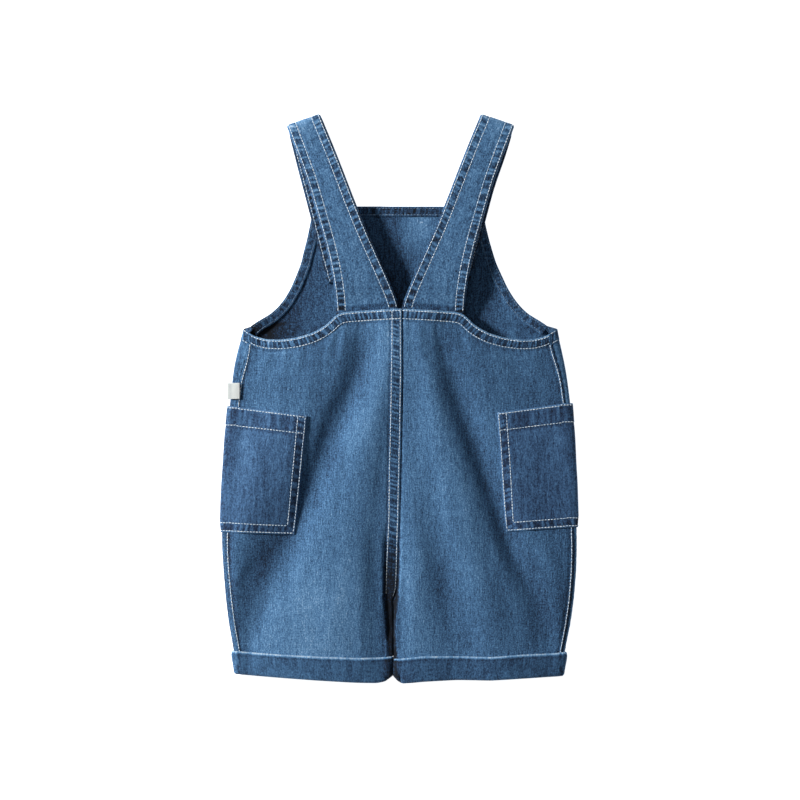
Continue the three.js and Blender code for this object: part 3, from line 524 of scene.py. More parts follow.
def shell(name, P, Q, t, uv, tone, N=None, bulge=0.35, inner_tone=None, seam=None, core=None,
          both=0.0):
    """A closed wall: P is its outer face, the wall grows inwards by t, and every rim is rounded."""
    n = quad_normals(P, Q) if N is None else N
    inner = P - n * t
    count = len(P)
    e = np.concatenate([Q[:, [0, 1]], Q[:, [1, 2]], Q[:, [2, 3]], Q[:, [3, 0]]])
    key = e[:, 0].astype(np.int64) * count + e[:, 1]
    back = e[:, 1].astype(np.int64) * count + e[:, 0]
    rim = e[~np.isin(key, back)]
    # outward direction at the rim, in the plane of the cloth
    out = np.zeros_like(P)
    d = P[rim[:, 1]] - P[rim[:, 0]]
    for k in (0, 1):
        o = np.cross(d, n[rim[:, k]])
        o /= np.maximum(np.linalg.norm(o, axis=1), 1e-9)[:, None]
        np.add.at(out, rim[:, k], o)
    ids = np.unique(rim)
    o = out[ids]
    o /= np.maximum(np.linalg.norm(o, axis=1), 1e-9)[:, None]
    mid = (P[ids] + inner[ids]) / 2 + o * t * bulge
    where = np.full(count, -1)
    where[ids] = np.arange(len(ids)) + 2 * count
    V = np.concatenate([P, inner, mid])
    a, b = rim[:, 0], rim[:, 1]
    quads = [Q, Q[:, ::-1] + count,
             np.stack([b, a, where[a], where[b]], 1), np.stack([where[b], where[a], a + count, b + count], 1)]
    UV = np.concatenate([uv, uv, uv[ids]])
    T = np.concatenate([tone, tone if inner_tone is None else inner_tone, tone[ids]])
    S = np.concatenate([np.zeros(count), np.ones(count), np.zeros(len(ids))])
    if seam is None:
        seam, core = np.zeros(count), np.zeros(count)
    return to_mesh("cloth_" + name, V, np.concatenate(quads), UV, {
        "tone": T, "side": S, "seam": np.concatenate([seam, seam, seam[ids]]),
        "core": np.concatenate([core, core * both, core[ids] * 0.4])})


def strongest(*pairs):
    """Of several seams (way along it, strength), the one that counts at each point."""
    way, core = np.array(pairs[0][0], float), np.array(pairs[0][1], float)
    for w, c in pairs[1:]:
        way = np.where(c > core, w, way)
        core = np.maximum(core, c)
    return way.ravel(), core.ravel()


def area_of(P, Q):
    return float(np.linalg.norm(np.cross(P[Q[:, 2]] - P[Q[:, 0]], P[Q[:, 3]] - P[Q[:, 1]]), axis=1).sum() / 2) * 1e-6


STITCH_RINGS = [(-0.5, 0.45, -0.16), (-0.33, 1.0, 0.02), (0.33, 1.0, 0.02), (0.5, 0.45, -0.16)]


class Thread:
    """Topstitches of one piece, gathered into one mesh of small sunk capsules."""

    def __init__(self):
        self.V, self.Q, self.n, self.t = [], [], 0, []
        self.material = THREAD

    def row(self, pts, nrm, pitch=PITCH, width=0.70, height=0.42, start=0.4, skip=None, fill=0.84):
        seg = np.linalg.norm(np.diff(pts, axis=0), axis=1)
        s = np.concatenate([[0], np.cumsum(seg)])
        if s[-1] < pitch:
            return
        k = int((s[-1] - start) / pitch)
        c = start + pitch * (np.arange(k) + 0.5)
        jig = np.random.default_rng(len(pts) + self.n).random((k, 3)) - 0.5
        keep = np.ones(k, bool) if skip is None else ~skip(c)
        c, jig = c[keep], jig[keep]
        if not len(c):
            return

        def at(q, arr):
            return np.stack([np.interp(q, s, arr[:, m]) for m in range(3)], 1)

        mid = at(c, pts)
        dirn = at(c + pitch * 0.4, pts) - at(c - pitch * 0.4, pts)
        dirn /= np.maximum(np.linalg.norm(dirn, axis=1), 1e-9)[:, None]
        up = at(c, nrm)
        up /= np.linalg.norm(up, axis=1)[:, None]
        across = np.cross(up, dirn)
        across /= np.linalg.norm(across, axis=1)[:, None]
        dirn = dirn + across * 0.10 * jig[:, :1]
        L = pitch * (fill + 0.08 * jig[:, 1])
        rings = []
        for a, r, z in STITCH_RINGS:
            for m in range(6):
                ang = m * math.pi / 3 + math.pi / 6
                rings.append(mid + dirn * (a * L)[:, None] + across * (math.cos(ang) * width / 2 * r)
                             + up * (math.sin(ang) * height / 2 * r + z + 0.12))
        V = np.stack(rings, 1)                      # stitches x 24 x 3
        base_q = []
        for i in range(3):
            for m in range(6):
                n = (m + 1) % 6
                base_q.append([i * 6 + m, i * 6 + n, (i + 1) * 6 + n, (i + 1) * 6 + m])
        base_q += [[0, 3, 2, 1], [0, 5, 4, 3], [18, 19, 20, 21], [18, 21, 22, 23]]
        Q = np.array(base_q)[None] + (np.arange(len(c)) * 24)[:, None, None] + self.n
        self.V.append(V.reshape(-1, 3))
        self.Q.append(Q.reshape(-1, 4))
        self.t.append(np.repeat(jig[:, 2], 24))
        self.n += V.shape[0] * 24

    def make(self, name):
        V, Q = np.concatenate(self.V), np.concatenate(self.Q)
        # between the legs the stitches lie in the dark
        dim = 0.90 * ease((-108 - V[:, 1]) / 62) * ease((13 - np.abs(V[:, 0] + 6)) / 2)
        obj = to_mesh(name, V, Q, None, {"tone": np.concatenate(self.t), "dim": dim})
        return finish_piece(obj, self.material)


def finish_piece(obj, material):
    obj.data.materials.append(material)
    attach(obj, "root")
    return obj


# ------------------------------------------------------------------ materials
def srgb(r, g, b):
    def f(c):
        c /= 255
        return c / 12.92 if c <= 0.04045 else ((c + 0.055) / 1.055) ** 2.4
    return (f(r), f(g), f(b), 1.0)


class Nodes:
    def __init__(self, name):
        self.mat = bpy.data.materials.new(name)
        self.mat.use_nodes = True
        self.tree = self.mat.node_tree
        self.tree.nodes.clear()
        self.out = self.tree.nodes.new("ShaderNodeOutputMaterial")
        self.bsdf = self.tree.nodes.new("ShaderNodeBsdfPrincipled")
        self.tree.links.new(self.bsdf.outputs[0], self.out.inputs[0])

    def add(self, kind, **props):
        n = self.tree.nodes.new(kind)
        for k, v in props.items():
            setattr(n, k, v)
        return n

    def link(self, a, b):
        self.tree.links.new(a, b)

    def attr(self, name):
        return self.add("ShaderNodeAttribute", attribute_name=name)

    def math(self, op, a, b=None, c=None):
        n = self.add("ShaderNodeMath", operation=op)
        for k, v in enumerate((a, b, c)):
            if v is None:
                continue
            if isinstance(v, (int, float)):
                n.inputs[k].default_value = v
            else:
                self.link(v, n.inputs[k])
        return n.outputs[0]

    def scaled(self, vec, sx, sy, sz=1.0, off=(0, 0, 0)):
        n = self.add("ShaderNodeMapping")
        n.inputs["Scale"].default_value = (sx, sy, sz)
        n.inputs["Location"].default_value = off
        self.link(vec, n.inputs["Vector"])
        return n.outputs[0]

    def noise(self, vec, detail=2.0, rough=0.5):
        n = self.add("ShaderNodeTexNoise", noise_dimensions="3D")
        n.inputs["Scale"].default_value = 1.0
        n.inputs["Detail"].default_value = detail
        n.inputs["Roughness"].default_value = rough
        self.link(vec, n.inputs["Vector"])
        return n.outputs[0]

    def ramp(self, fac, stops):
        n = self.add("ShaderNodeValToRGB")
        r = n.color_ramp
        r.elements[0].position, r.elements[0].color = stops[0]
        r.elements[1].position, r.elements[1].color = stops[-1]
        for p, c in stops[1:-1]:
            e = r.elements.new(p)
            e.color = c
        self.link(fac, n.inputs[0])
        return n.outputs[0]


def denim(name, seed, streak=0.36, grain=0.50, wide=0.12, shade=0.0, hue=(0, 0, 0), inside_shade=0.0, pitch=4.0):
    """Light indigo denim: slub streaks along the warp, a fine twill, and faded raised parts."""
    m = Nodes(name)
    uv = m.add("ShaderNodeUVMap", uv_map="cloth").outputs[0]
    mm = m.scaled(uv, 1000, 1000, 1, (0, 0, seed * 3.1))
    tone, side = m.attr("tone").outputs["Fac"], m.attr("side").outputs["Fac"]
    fine = m.noise(m.scaled(mm, 1.15, 0.16), 3.0, 0.62)
    slub = m.noise(m.scaled(mm, 0.36, 0.035), 2.0, 0.5)
    weft = m.noise(m.scaled(mm, 0.10, 0.85), 2.0, 0.5)
    dots = m.noise(m.scaled(mm, 1.05, 0.80), 2.0, 0.6)
    cloud = m.noise(m.scaled(mm, 0.035, 0.018), 2.0, 0.5)
    # twill: fine diagonal ribs, 0.9 mm apart
    sep = m.add("ShaderNodeSeparateXYZ")
    m.link(mm, sep.inputs[0])
    diag = m.math("ADD", sep.outputs[0], m.math("MULTIPLY", sep.outputs[1], 0.62))
    twill = m.math("SINE", m.math("MULTIPLY", diag, 2 * math.pi / 0.9))
    value = m.math("ADD", tone, m.math("MULTIPLY", m.math("SUBTRACT", fine, 0.5), streak * 2))
    value = m.math("ADD", value, m.math("MULTIPLY", m.math("SUBTRACT", dots, 0.5), grain * 2))
    value = m.math("ADD", value, m.math("MULTIPLY", m.math("SUBTRACT", slub, 0.5), wide * 2))
    value = m.math("ADD", value, m.math("MULTIPLY", m.math("SUBTRACT", weft, 0.5), 0.12))
    value = m.math("ADD", value, m.math("MULTIPLY", m.math("SUBTRACT", cloud, 0.5), 0.14))
    value = m.math("ADD", value, m.math("MULTIPLY", twill, 0.025))
    value = m.math("ADD", value, shade)
    # roping: along a stitched seam the raised puckers are worn pale and the hollows stay dark
    way, core = m.attr("seam").outputs["Fac"], m.attr("core").outputs["Fac"]
    cell = m.add("ShaderNodeTexVoronoi", voronoi_dimensions="1D", feature="F1")
    cell.inputs["Scale"].default_value = 1.0
    cell.inputs["Randomness"].default_value = 0.85
    m.link(m.math("MULTIPLY", m.math("ADD", way, m.math("MULTIPLY", dots, 1.6)), 1 / pitch), cell.inputs["W"])
    puck = m.add("ShaderNodeMapRange", interpolation_type="SMOOTHSTEP")
    m.link(cell.outputs["Distance"], puck.inputs[0])
    for k, v in ((1, 0.05), (2, 0.33), (3, 1.0), (4, 0.0)):
        puck.inputs[k].default_value = v
    # some stretches pucker hard, others hardly at all
    patchy = m.noise(m.scaled(mm, 0.11, 0.11), 1.0)
    core = m.math("MULTIPLY", core, m.math("MULTIPLY_ADD", patchy, 1.0, 0.36))
    pucker = m.math("MULTIPLY", puck.outputs[0], core)
    level = m.math("MULTIPLY_ADD", pucker, 0.42, m.math("MULTIPLY", core, -0.26))
    value = m.math("ADD", value, level)
    # the inner face is made darker by this offset: painted shade of the garment's inside
    value = m.math("ADD", value, m.math("MULTIPLY", side, inside_shade))
    h = hue
    col = m.ramp(value, [
        (0.00, srgb(8 + h[0], 13 + h[1], 22 + h[2])),
        (0.22, srgb(34 + h[0], 59 + h[1], 89 + h[2])),
        (0.50, srgb(69 + h[0], 109 + h[1], 148 + h[2])),
        (0.74, srgb(105 + h[0], 148 + h[1], 188 + h[2])),
        (1.00, srgb(184, 205, 222))])
    m.link(col, m.bsdf.inputs["Base Color"])
    rough = m.math("MULTIPLY_ADD", dots, 0.12, 0.80)
    m.link(rough, m.bsdf.inputs["Roughness"])
    m.bsdf.inputs["Specular IOR Level"].default_value = 0.25
    m.bsdf.inputs["Sheen Weight"].default_value = 0.10
    m.bsdf.inputs["Sheen Roughness"].default_value = 0.5
    m.bsdf.inputs["Sheen Tint"].default_value = srgb(170, 196, 220)
    hgt = m.math("MULTIPLY_ADD", fine, 0.9, m.math("MULTIPLY", dots, 0.9))
    hgt = m.math("ADD", hgt, m.math("MULTIPLY", twill, 0.10))
    hgt = m.math("ADD", hgt, m.math("MULTIPLY", pucker, 1.6))
    bump = m.add("ShaderNodeBump")
    bump.inputs["Strength"].default_value = 0.55
    bump.inputs["Distance"].default_value = 0.00022
    m.link(hgt, bump.inputs["Height"])
    m.link(bump.outputs[0], m.bsdf.inputs["Normal"])
    return m.mat


def thread_material(name, bright):
    m = Nodes(name)
    co = m.add("ShaderNodeTexCoord").outputs["Object"]
    tone = m.attr("tone").outputs["Fac"]
    n = m.noise(m.scaled(co, 700, 700, 700), 2.0)
    v = m.math("ADD", m.math("MULTIPLY_ADD", tone, 0.5, 0.1), n)
    if bright:
        stops = [(0.0, srgb(74, 96, 122)), (0.22, srgb(164, 188, 210)), (0.6, srgb(210, 226, 239)), (0.95, srgb(236, 244, 250))]
    else:
        # the darker thread: painted shade for stitches inside the garment
        stops = [(0.0, srgb(24, 33, 44)), (0.22, srgb(64, 86, 112)), (0.6, srgb(98, 124, 152)), (0.95, srgb(136, 158, 180))]
    dimmed = m.add("ShaderNodeVectorMath", operation="SCALE")
    m.link(m.ramp(v, stops), dimmed.inputs[0])
    m.link(m.math("SUBTRACT", 1.0, m.attr("dim").outputs["Fac"]), dimmed.inputs["Scale"])
    col = dimmed.outputs[0]
    m.link(col, m.bsdf.inputs["Base Color"])
    m.bsdf.inputs["Roughness"].default_value = 0.7
    m.bsdf.inputs["Specular IOR Level"].default_value = 0.3
    bump = m.add("ShaderNodeBump")
    bump.inputs["Strength"].default_value = 0.4
    bump.inputs["Distance"].default_value = 0.0001
    m.link(m.noise(m.scaled(co, 2600, 2600, 2600), 1.0), bump.inputs["Height"])
    m.link(bump.outputs[0], m.bsdf.inputs["Normal"])
    return m.mat


def label_material():
    m = Nodes("label_cloth")
    uv = m.add("ShaderNodeUVMap", uv_map="cloth").outputs[0]
    mm = m.scaled(uv, 1000, 1000)
    sep = m.add("ShaderNodeSeparateXYZ")
    m.link(mm, sep.inputs[0])
    rib = m.math("SINE", m.math("MULTIPLY", sep.outputs[1], 2 * math.pi / 0.45))
    n = m.noise(m.scaled(mm, 1.2, 2.4), 3.0)
    v = m.math("ADD", m.math("MULTIPLY_ADD", rib, 0.05, m.attr("tone").outputs["Fac"]), m.math("MULTIPLY", n, 0.35))
    col = m.ramp(v, [(0.2, srgb(176, 182, 184)), (0.6, srgb(222, 226, 222)), (1.0, srgb(240, 241, 237))])
    m.link(col, m.bsdf.inputs["Base Color"])
    m.bsdf.inputs["Roughness"].default_value = 0.75
    bump = m.add("ShaderNodeBump")
    bump.inputs["Strength"].default_value = 0.5
    bump.inputs["Distance"].default_value = 0.00012
    m.link(rib, bump.inputs["Height"])
    m.link(bump.outputs[0], m.bsdf.inputs["Normal"])
    return m.mat


def button_material():
    m = Nodes("button_plastic")
    co = m.add("ShaderNodeTexCoord").outputs["Object"]
    n = m.noise(m.scaled(co, 90, 240, 90), 3.0, 0.6)
    col = m.ramp(n, [(0.3, srgb(30, 40, 56)), (0.55, srgb(46, 61, 80)), (0.8, srgb(66, 84, 104))])
    m.link(col, m.bsdf.inputs["Base Color"])
    m.bsdf.inputs["Roughness"].default_value = 0.34
    m.bsdf.inputs["Coat Weight"].default_value = 0.2
    m.bsdf.inputs["Coat Roughness"].default_value = 0.25
    bump = m.add("ShaderNodeBump")
    bump.inputs["Strength"].default_value = 0.15
    bump.inputs["Distance"].default_value = 0.0002
    m.link(n, bump.inputs["Height"])
    m.link(bump.outputs[0], m.bsdf.inputs["Normal"])
    return m.mat


BODY = denim("denim_body", 1, shade=-0.04, pitch=3.6)
# its inner face is painted darker: painted shade inside the bib
BODY_FRONT = denim("denim_front", 2, inside_shade=-0.11, shade=-0.02, pitch=3.6)
STRAPS = denim("denim_strap", 3, streak=0.30, grain=0.54, shade=-0.025, pitch=5.2)
POCKETS = denim("denim_pocket", 4, streak=0.32, grain=0.42, wide=0.08, shade=-0.02, hue=(0, -3, -2), pitch=6.2)
CUFFS = denim("denim_cuff", 5, streak=0.24, grain=0.40, shade=-0.07)
# a darker copy of the denim for the hems inside the garment: painted shade of the inside
DENIM_INSIDE_SHADED = denim("denim_wrong_side", 6, shade=-0.10)
THREAD = thread_material("thread", 1.0)
# a darker copy of the thread for the stitches inside the garment: painted shade of the inside
THREAD_INSIDE_SHADED = thread_material("thread_inside_painted_shade", 0.0)
LABEL_MAT = label_material()
BUTTON_MAT = button_material()


def fine(lo, hi, step):
    n = max(1, int(round((hi - lo) / step)))
    return np.linspace(lo, hi, n + 1)


made = {}
threads = {}

# ------------------------------------------------------------------ back halves
EDGE_D = 7.6                     # width of the turned hem


def top_curves(s):
    """Edge and hem line of the back's top, as smooth functions of the hem line's x."""
    t = BACK_TOP.copy()
    q = np.concatenate([[0], np.cumsum(np.hypot(np.diff(t[:, 2]), np.diff(t[:, 3])))])
    g = np.arange(0, q[-1], 0.25)
    cols = np.stack([np.interp(g, q, t[:, k]) for k in range(4)], 1)
    cols = smooth1(cols, 2.2 / 0.25)
    if s > 0:
        cols[:, 0], cols[:, 2] = MIRROR - cols[:, 0], MIRROR - cols[:, 2]
    return g, cols


def back_net(s):
    g, top = top_curves(s)
    order = np.argsort(top[:, 2])
    hx, cut = top[order, 2], top[order]
    way = g[order]
    dc = np.concatenate([fine(0, 11, 0.8), [12.2]])                     # from the centre
    ds = np.concatenate([[0, 0.35], fine(0.8, 11, 0.8)])                # from the side seam
    mid = fine(0, 1, 1.2 / 110)[1:-1]
    d = np.concatenate([[0, 0.35], fine(0.8, 16, 0.76), fine(17.1, 72.2 + 219.0, 1.28)])
    P = np.zeros((len(d), len(dc) + len(mid) + len(ds), 3))
    C = P.shape[1]

    def columns(y):
        xi = inner_x(y, s) + s * 0.05 * (y > CROTCH_Y)
        xs = seam_x(y, s) - s * 0.08
        a = xi[..., None] + s * dc
        b = xs[..., None] - s * ds
        m = a[..., -1:] + (b[..., -1:] - a[..., -1:]) * mid
        return np.concatenate([a, m, b[..., ::-1]], -1)

    # where each column crosses the hem line
    y = np.full(C, 55.0)
    for _ in range(8):
        x = columns(y)[np.arange(C), np.arange(C)]
        y = np.interp(x, hx, cut[:, 3])
    hem = np.stack([x, y], 1)
    edge = np.stack([np.interp(x, hx, cut[:, 0]), np.interp(x, hx, cut[:, 1])], 1)
    edge[0, 0] = centre_x(edge[0, 1]) + s * 0.05
    along = np.interp(x, hx, way)
    along = np.abs(along - along[0])
    yf = 72.2 - d
    for i, dd in enumerate(d):
        if dd <= EDGE_D:
            T = edge + (hem - edge) * (dd / EDGE_D)
        else:
            T = hem - np.stack([np.zeros(C), np.full(C, dd - EDGE_D)], 1)
        w = ease((dd - 12) / 62)
        yb = yf[i]
        yy = lerp(T[:, 1], yb, w)
        xb = columns(yy)[np.arange(C), np.arange(C)]
        xx = lerp(T[:, 0], xb, ease((dd - 7) / 10))
        P[i, :, 0], P[i, :, 1] = xx, yy
    # the outer column runs down the side seam
    n = len(ds) + 4
    fade = ease(np.arange(n) / (n - 1))
    xs = seam_x(P[:, -1, 1], s) - s * 0.08
    P[:, -n:, 0] += (xs - P[:, -1, 0])[:, None] * fade
    xi = inner_x(P[:, 0, 1], s) + s * 0.05
    fade = 1 - ease(np.arange(8) / 7)
    P[:, :8, 0] += (xi - P[:, 0, 0])[:, None] * fade
    P[..., 2] = upper(P[..., 0], P[..., 1], s)
    cdist = np.abs(P[..., 0] - P[:, :1, 0])
    sdist = np.abs(P[..., 0] - P[:, -1:, 0])
    net = Net(P, d, np.arange(C)).face()
    net.dc, net.ds, net.along, net.d = cdist, sdist, along, d
    return net


def between_legs(X, Y):
    """Where the cloth between the legs lies in the dark (0 to 1)."""
    lo = np.interp(Y, [-207, -200, -190, -180, -157, -120], [-8.6, -9.0, -9.8, -10.2, -11.6, -11.6])
    hi = np.interp(Y, [-212, -206, -200, -190, -185, -174, -157, -120], [-2.4, -2.0, -2.6, -4.2, -4.2, -3.0, -1.0, -1.0])
    return ease((-110 - Y) / 54) * ease((X - lo + 2.6) / 4.6) * ease((hi + 1.2 - X) / 2.0)


def back_details(net, s):
    """Height over the plain relief, and tone, from the seams and hems, with painted light and shade over the body."""
    X, Y = net.P[..., 0], net.P[..., 1]
    d = net.d[:, None] * np.ones_like(X)
    a = net.along[None, :] * np.ones_like(X)
    h, tone = np.zeros_like(X), np.full(X.shape, 0.5)
    # turned hem along the top edge
    band = ease((8.4 - d) / 1.0)
    R = rope(a + 0.25 * d + (300 if s > 0 else 0), 11, 7.0, 1.5)
    core = ease((d - 0.9) / 0.9) * ease((7.5 - d) / 0.9)
    pairs = [(a + 0.2 * d + (300 if s > 0 else 0), 0.9 * core)]
    h += 0.45 * band + 0.20 * R * core
    tone += core * (-0.06 + 0.08 * R)
    h -= 0.22 * gauss(d - 7.5, 0.5) + 0.14 * gauss(d - 1.1, 0.45)
    tone += 0.26 * gauss(d - 0.1, 0.55) + 0.10 * gauss(d - 8.2, 0.45)
    # the ditch under it and small puckers that run down from it
    h -= 0.22 * gauss(d - 9.1, 0.7)
    tone -= 0.13 * gauss(d - 9.1, 0.7) + 0.10 * gauss(d - 6.6, 0.5)
    fall = ease((d - 8.6) / 1.4) * np.exp(-np.maximum(d - 8.6, 0) / 5.5)
    R2 = rope(a * 1.02 + 0.1 * d + 40, 12, 6.8, 1.3)
    h += 0.20 * R2 * fall
    tone += 0.085 * R2 * fall
    # centre-back seam: a flat felled band on the left half
    if s < 0:
        wide = centre_x(Y) - _row_l(Y)                  # band from its folded edge to the left row
        u = net.dc
        on = ease((wide + 1.1 - u) / 0.9) * (1 - legs(Y))
        Rc = rope(-Y + 0.35 * u, 13, 6.4, 1.3)
        core = ease((u - 1.3) / 0.8) * ease((wide - 0.3 - u) / 0.8) * (1 - legs(Y)) * ease((d - 8.0) / 1.2)
        pairs.append((600 - Y + 0.3 * u, core * (0.9 - 0.7 * ease((-96 - Y) / 44))))
        h += 0.55 * on * (1 - 0.45 * band) + 0.18 * Rc * core
        tone += core * (-0.02 + 0.08 * Rc)
        h -= 0.2 * (gauss(u - wide, 0.45) + gauss(u - 1.1, 0.45)) * on
        h -= 0.30 * gauss(u - wide - 1.7, 0.7)
        tone -= 0.24 * gauss(u - wide - 1.6, 0.65) * (1 - legs(Y))
        tone += 0.10 * gauss(u - wide - 3.0, 0.7) * (1 - legs(Y))
        Rd = rope(-Y + 11, 14, 5.6, 1.2)
        fall = ease((u - wide - 1.2) / 1.0) * np.exp(-np.maximum(u - wide - 1.2, 0) / 4.0) * (1 - legs(Y))
        h += 0.13 * Rd * fall
        tone += 0.05 * Rd * fall
    else:
        u = net.dc
        h -= 0.30 * gauss(u - 0.2, 0.8)
        tone -= 0.28 * gauss(u - 0.2, 0.7) * (1 - legs(Y))
        tone += 0.10 * gauss(u - 2.1, 0.8) * (1 - legs(Y))
        Rd = rope(-Y + 23, 15, 5.6, 1.2)
        fall = ease((u - 0.8) / 1.0) * np.exp(-np.maximum(u - 0.8, 0) / 4.5) * (1 - legs(Y))
        h += 0.14 * Rd * fall
        tone += 0.05 * Rd * fall
    # side seam: topstitched 2.5 mm in, a worn line at the very edge
    v = net.ds
    off = ease((d - 8.0) / 2.0)
    Rs = rope(-Y + (60 if s < 0 else 10), 16, 5.2, 1.0)
    near = ease((2.5 - v) / 0.9)
    h += 0.30 * near * off - 0.18 * gauss(v - 1.4, 0.45) * off - 0.25 * gauss(v - 3.1, 0.7) * off
    h += 0.16 * Rs * near * off
    tone += off * ((0.16 if s < 0 else -0.24) * gauss(v - 0.2, 0.5) + (0.0 if s < 0 else 0.10) * gauss(v - 1.3, 0.5) - 0.12 * gauss(v - 2.9, 0.7) + near * (0.02 + 0.05 * Rs))
    pairs.append((1200 - Y + (40 if s > 0 else 0), 0.45 * near * off))
    fall = ease((v - 3.0) / 1.0) * np.exp(-np.maximum(v - 3.0, 0) / 4.5) * off
    h += 0.12 * Rs * fall
    tone += 0.05 * Rs * fall
    # painted shade: the cloth is darkest down between the legs, in the crevice's shadow
    deep = ease((-92 - Y) / 50) * gauss(X - np.interp(Y, [-210, -180, -120], [-5.5, -7.2, -6.0]), 4.2)
    tone -= 0.30 * deep
    tone = lerp(tone, 0.06, between_legs(X, Y))
    # painted shade on the left edge, which turns to the light, so that it doesn't glare
    if s < 0:
        tone -= 0.17 * gauss(X - fold_x(Y, -1), 6.0) * ease((40 - Y) / 20)
    # painted shade away from the light: right of the long right fold, under the left pocket, on the upper left and on
    # the lower right leg; painted light along the left highlight ridge and on the lower left leg
    line = np.interp(Y, [-200, -160, -120, -80, -40, 0, 44, 60], [122, 106, 88, 72, 58, 45, 31, 26])
    tone -= 0.075 * ease((X - line) / 14) * ease((62 - Y) / 18)
    under = np.interp(Y, [-196, -160, -130, -100, -60, 0, 40], [-126, -112, -100, -86, -68, -44, -30])
    tone -= 0.085 * ease((under - X) / 8) * ease((-40 - Y) / 60)
    tone -= 0.04 * ease((X - line - 8) / 14) * ease((-80 - Y) / 40)
    tone -= 0.035 * ease((-58 - X) / 14) * ease((48 - Y) / 6) * ease((Y + 6) / 10)
    tone += 0.05 * gauss(X - np.interp(Y, [-60, 0, 60], [-40, -22, -8]), 6.0) * ease((63 - Y) / 8) * ease((Y + 60) / 50)
    tone += 0.095 * ease((-110 - Y) / 50) * ease((X + 112 - (Y + 160) * 0.3) / 14) * ease((-26 - X) / 14)
    tone -= 0.065 * ease((-110 - Y) / 50) * ease((X - 20) / 14)
    # down in the long troughs the cloth faces away from the light
    tr = np.interp(Y, [-171, -121, -68, -7, 59], [111, 87, 66, 45, 25])
    tone -= 0.070 * gauss(X - tr - 1.0, 7.0) * ease((40 - Y) / 60) * ease((Y + 204) / 34)
    tone -= 0.030 * gauss(X - tr + 3.0, 7.0) * ease((60 - Y) / 24) * ease((Y + 20) / 50)
    tr = np.interp(Y, [-150, -129, -88, -40, 14, 59], [-110, -98, -78, -61, -40, -24])
    tone -= 0.085 * gauss(X - tr + 7.0, 9.5) * ease((60 - Y) / 24) * ease((Y + 160) / 34)
    # a pale bar across the left band, and the pale streak that hangs from the yoke's corner
    if s < 0:
        tone += 0.24 * gauss(X + 105.0 + 0.06 * (Y - 46), 0.75) * ease((d - 0.6) / 0.8) * ease((8.4 - d) / 0.8)
        tone += 0.13 * gauss(X + 52.6, 0.9) * ease((62 - Y) / 3) * ease((Y - 44) / 12)
        tone += 0.12 * gauss(d - 10.6 - 0.10 * np.abs(X + 98), 0.7) * ease((X + 108) / 3) * ease((-86 - X) / 5)
    # lighter on the crests and darker in the troughs of the relief
    h += 0.03 * noise2(X, Y, 2.4, 5)
    tone += 0.035 * noise2(X, Y, (9, 30), 6) + 0.03 * noise2(X, Y, (26, 60), 7)
    crest = relief(X, Y) - samp(ZL, X, Y)
    tone += np.clip(crest * 0.03, -0.06, 0.06)
    way, core = strongest(*pairs)
    return h, tone, way, core


ZL = blur2(ZB, 14, 14)

for side_name, s in (("left", -1), ("right", 1)):
    net = back_net(s)
    h, tone, way, core = back_details(net, s)
    smoothN = net.N.copy()
    net.P = net.P + smoothN * h[..., None]
    P = net.P.reshape(-1, 3)
    uv = P[:, :2].copy()
    obj = shell("back_" + side_name, P, net.quads(), 1.1, uv, tone.ravel(), smoothN.reshape(-1, 3), seam=way, core=core)
    finish_piece(obj, BODY)
    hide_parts("back_" + side_name)
    net.normals()
    made["back_" + side_name] = (obj, net)
    # topstitching
    th = Thread()
    C = len(net.cols)
    last = float(C - 1)
    cols = np.linspace(0.0, last, 900)
    for dd in (1.1, 7.5):
        p, n = net.at(np.full(900, dd), cols)
        th.row(p, n)
    rows = np.linspace(8.0, 72.2 + 167, 900)

    def by_distance(field, want, rr):
        """Column coordinate where field (rows x cols) reaches want at the rows rr."""
        idx = np.arange(field.shape[0])
        ri = np.interp(rr, net.d, idx)
        lo = np.clip(ri.astype(int), 0, field.shape[0] - 2)
        f = (ri - lo)[:, None]
        F = field[lo] * (1 - f) + field[lo + 1] * f
        w = np.broadcast_to(want, rr.shape)
        if F[0, 0] < F[0, -1]:
            return np.array([np.interp(w[k], F[k], np.arange(C)) for k in range(len(rr))])
        return np.array([np.interp(w[k], F[k, ::-1], np.arange(C)[::-1]) for k in range(len(rr))])

    if s < 0:
        rr = np.linspace(0.6, 72.2 + 158, 900)
        yy = 72.2 - rr
        wide = centre_x(yy) - _row_l(yy)
        for want in (np.full(900, 1.1), wide):
            p, n = net.at(rr, by_distance(net.dc, want, rr))
            th.row(p, n, width=0.66)
    rr = np.linspace(8.6, 72.2 + 206, 900)
    p, n = net.at(rr, by_distance(net.ds, 1.4, rr))
    th.row(p, n, fill=0.9)
    threads["back_" + side_name] = th

# ------------------------------------------------------------------ front
ANG_A, ANG_B = 9, 8
CORNER = 3.0


def corner_depth(X, Y, s):
    """How far below the wrapped top edge a point at the side lies."""
    t = clamp01((np.abs(X) - np.abs(seam_x(Y, s))) / (np.abs(fold_x(Y, s)) - np.abs(seam_x(Y, s))))
    return 56.4 - Y - CORNER * (1 - t) * ease((Y - 30) / 12)


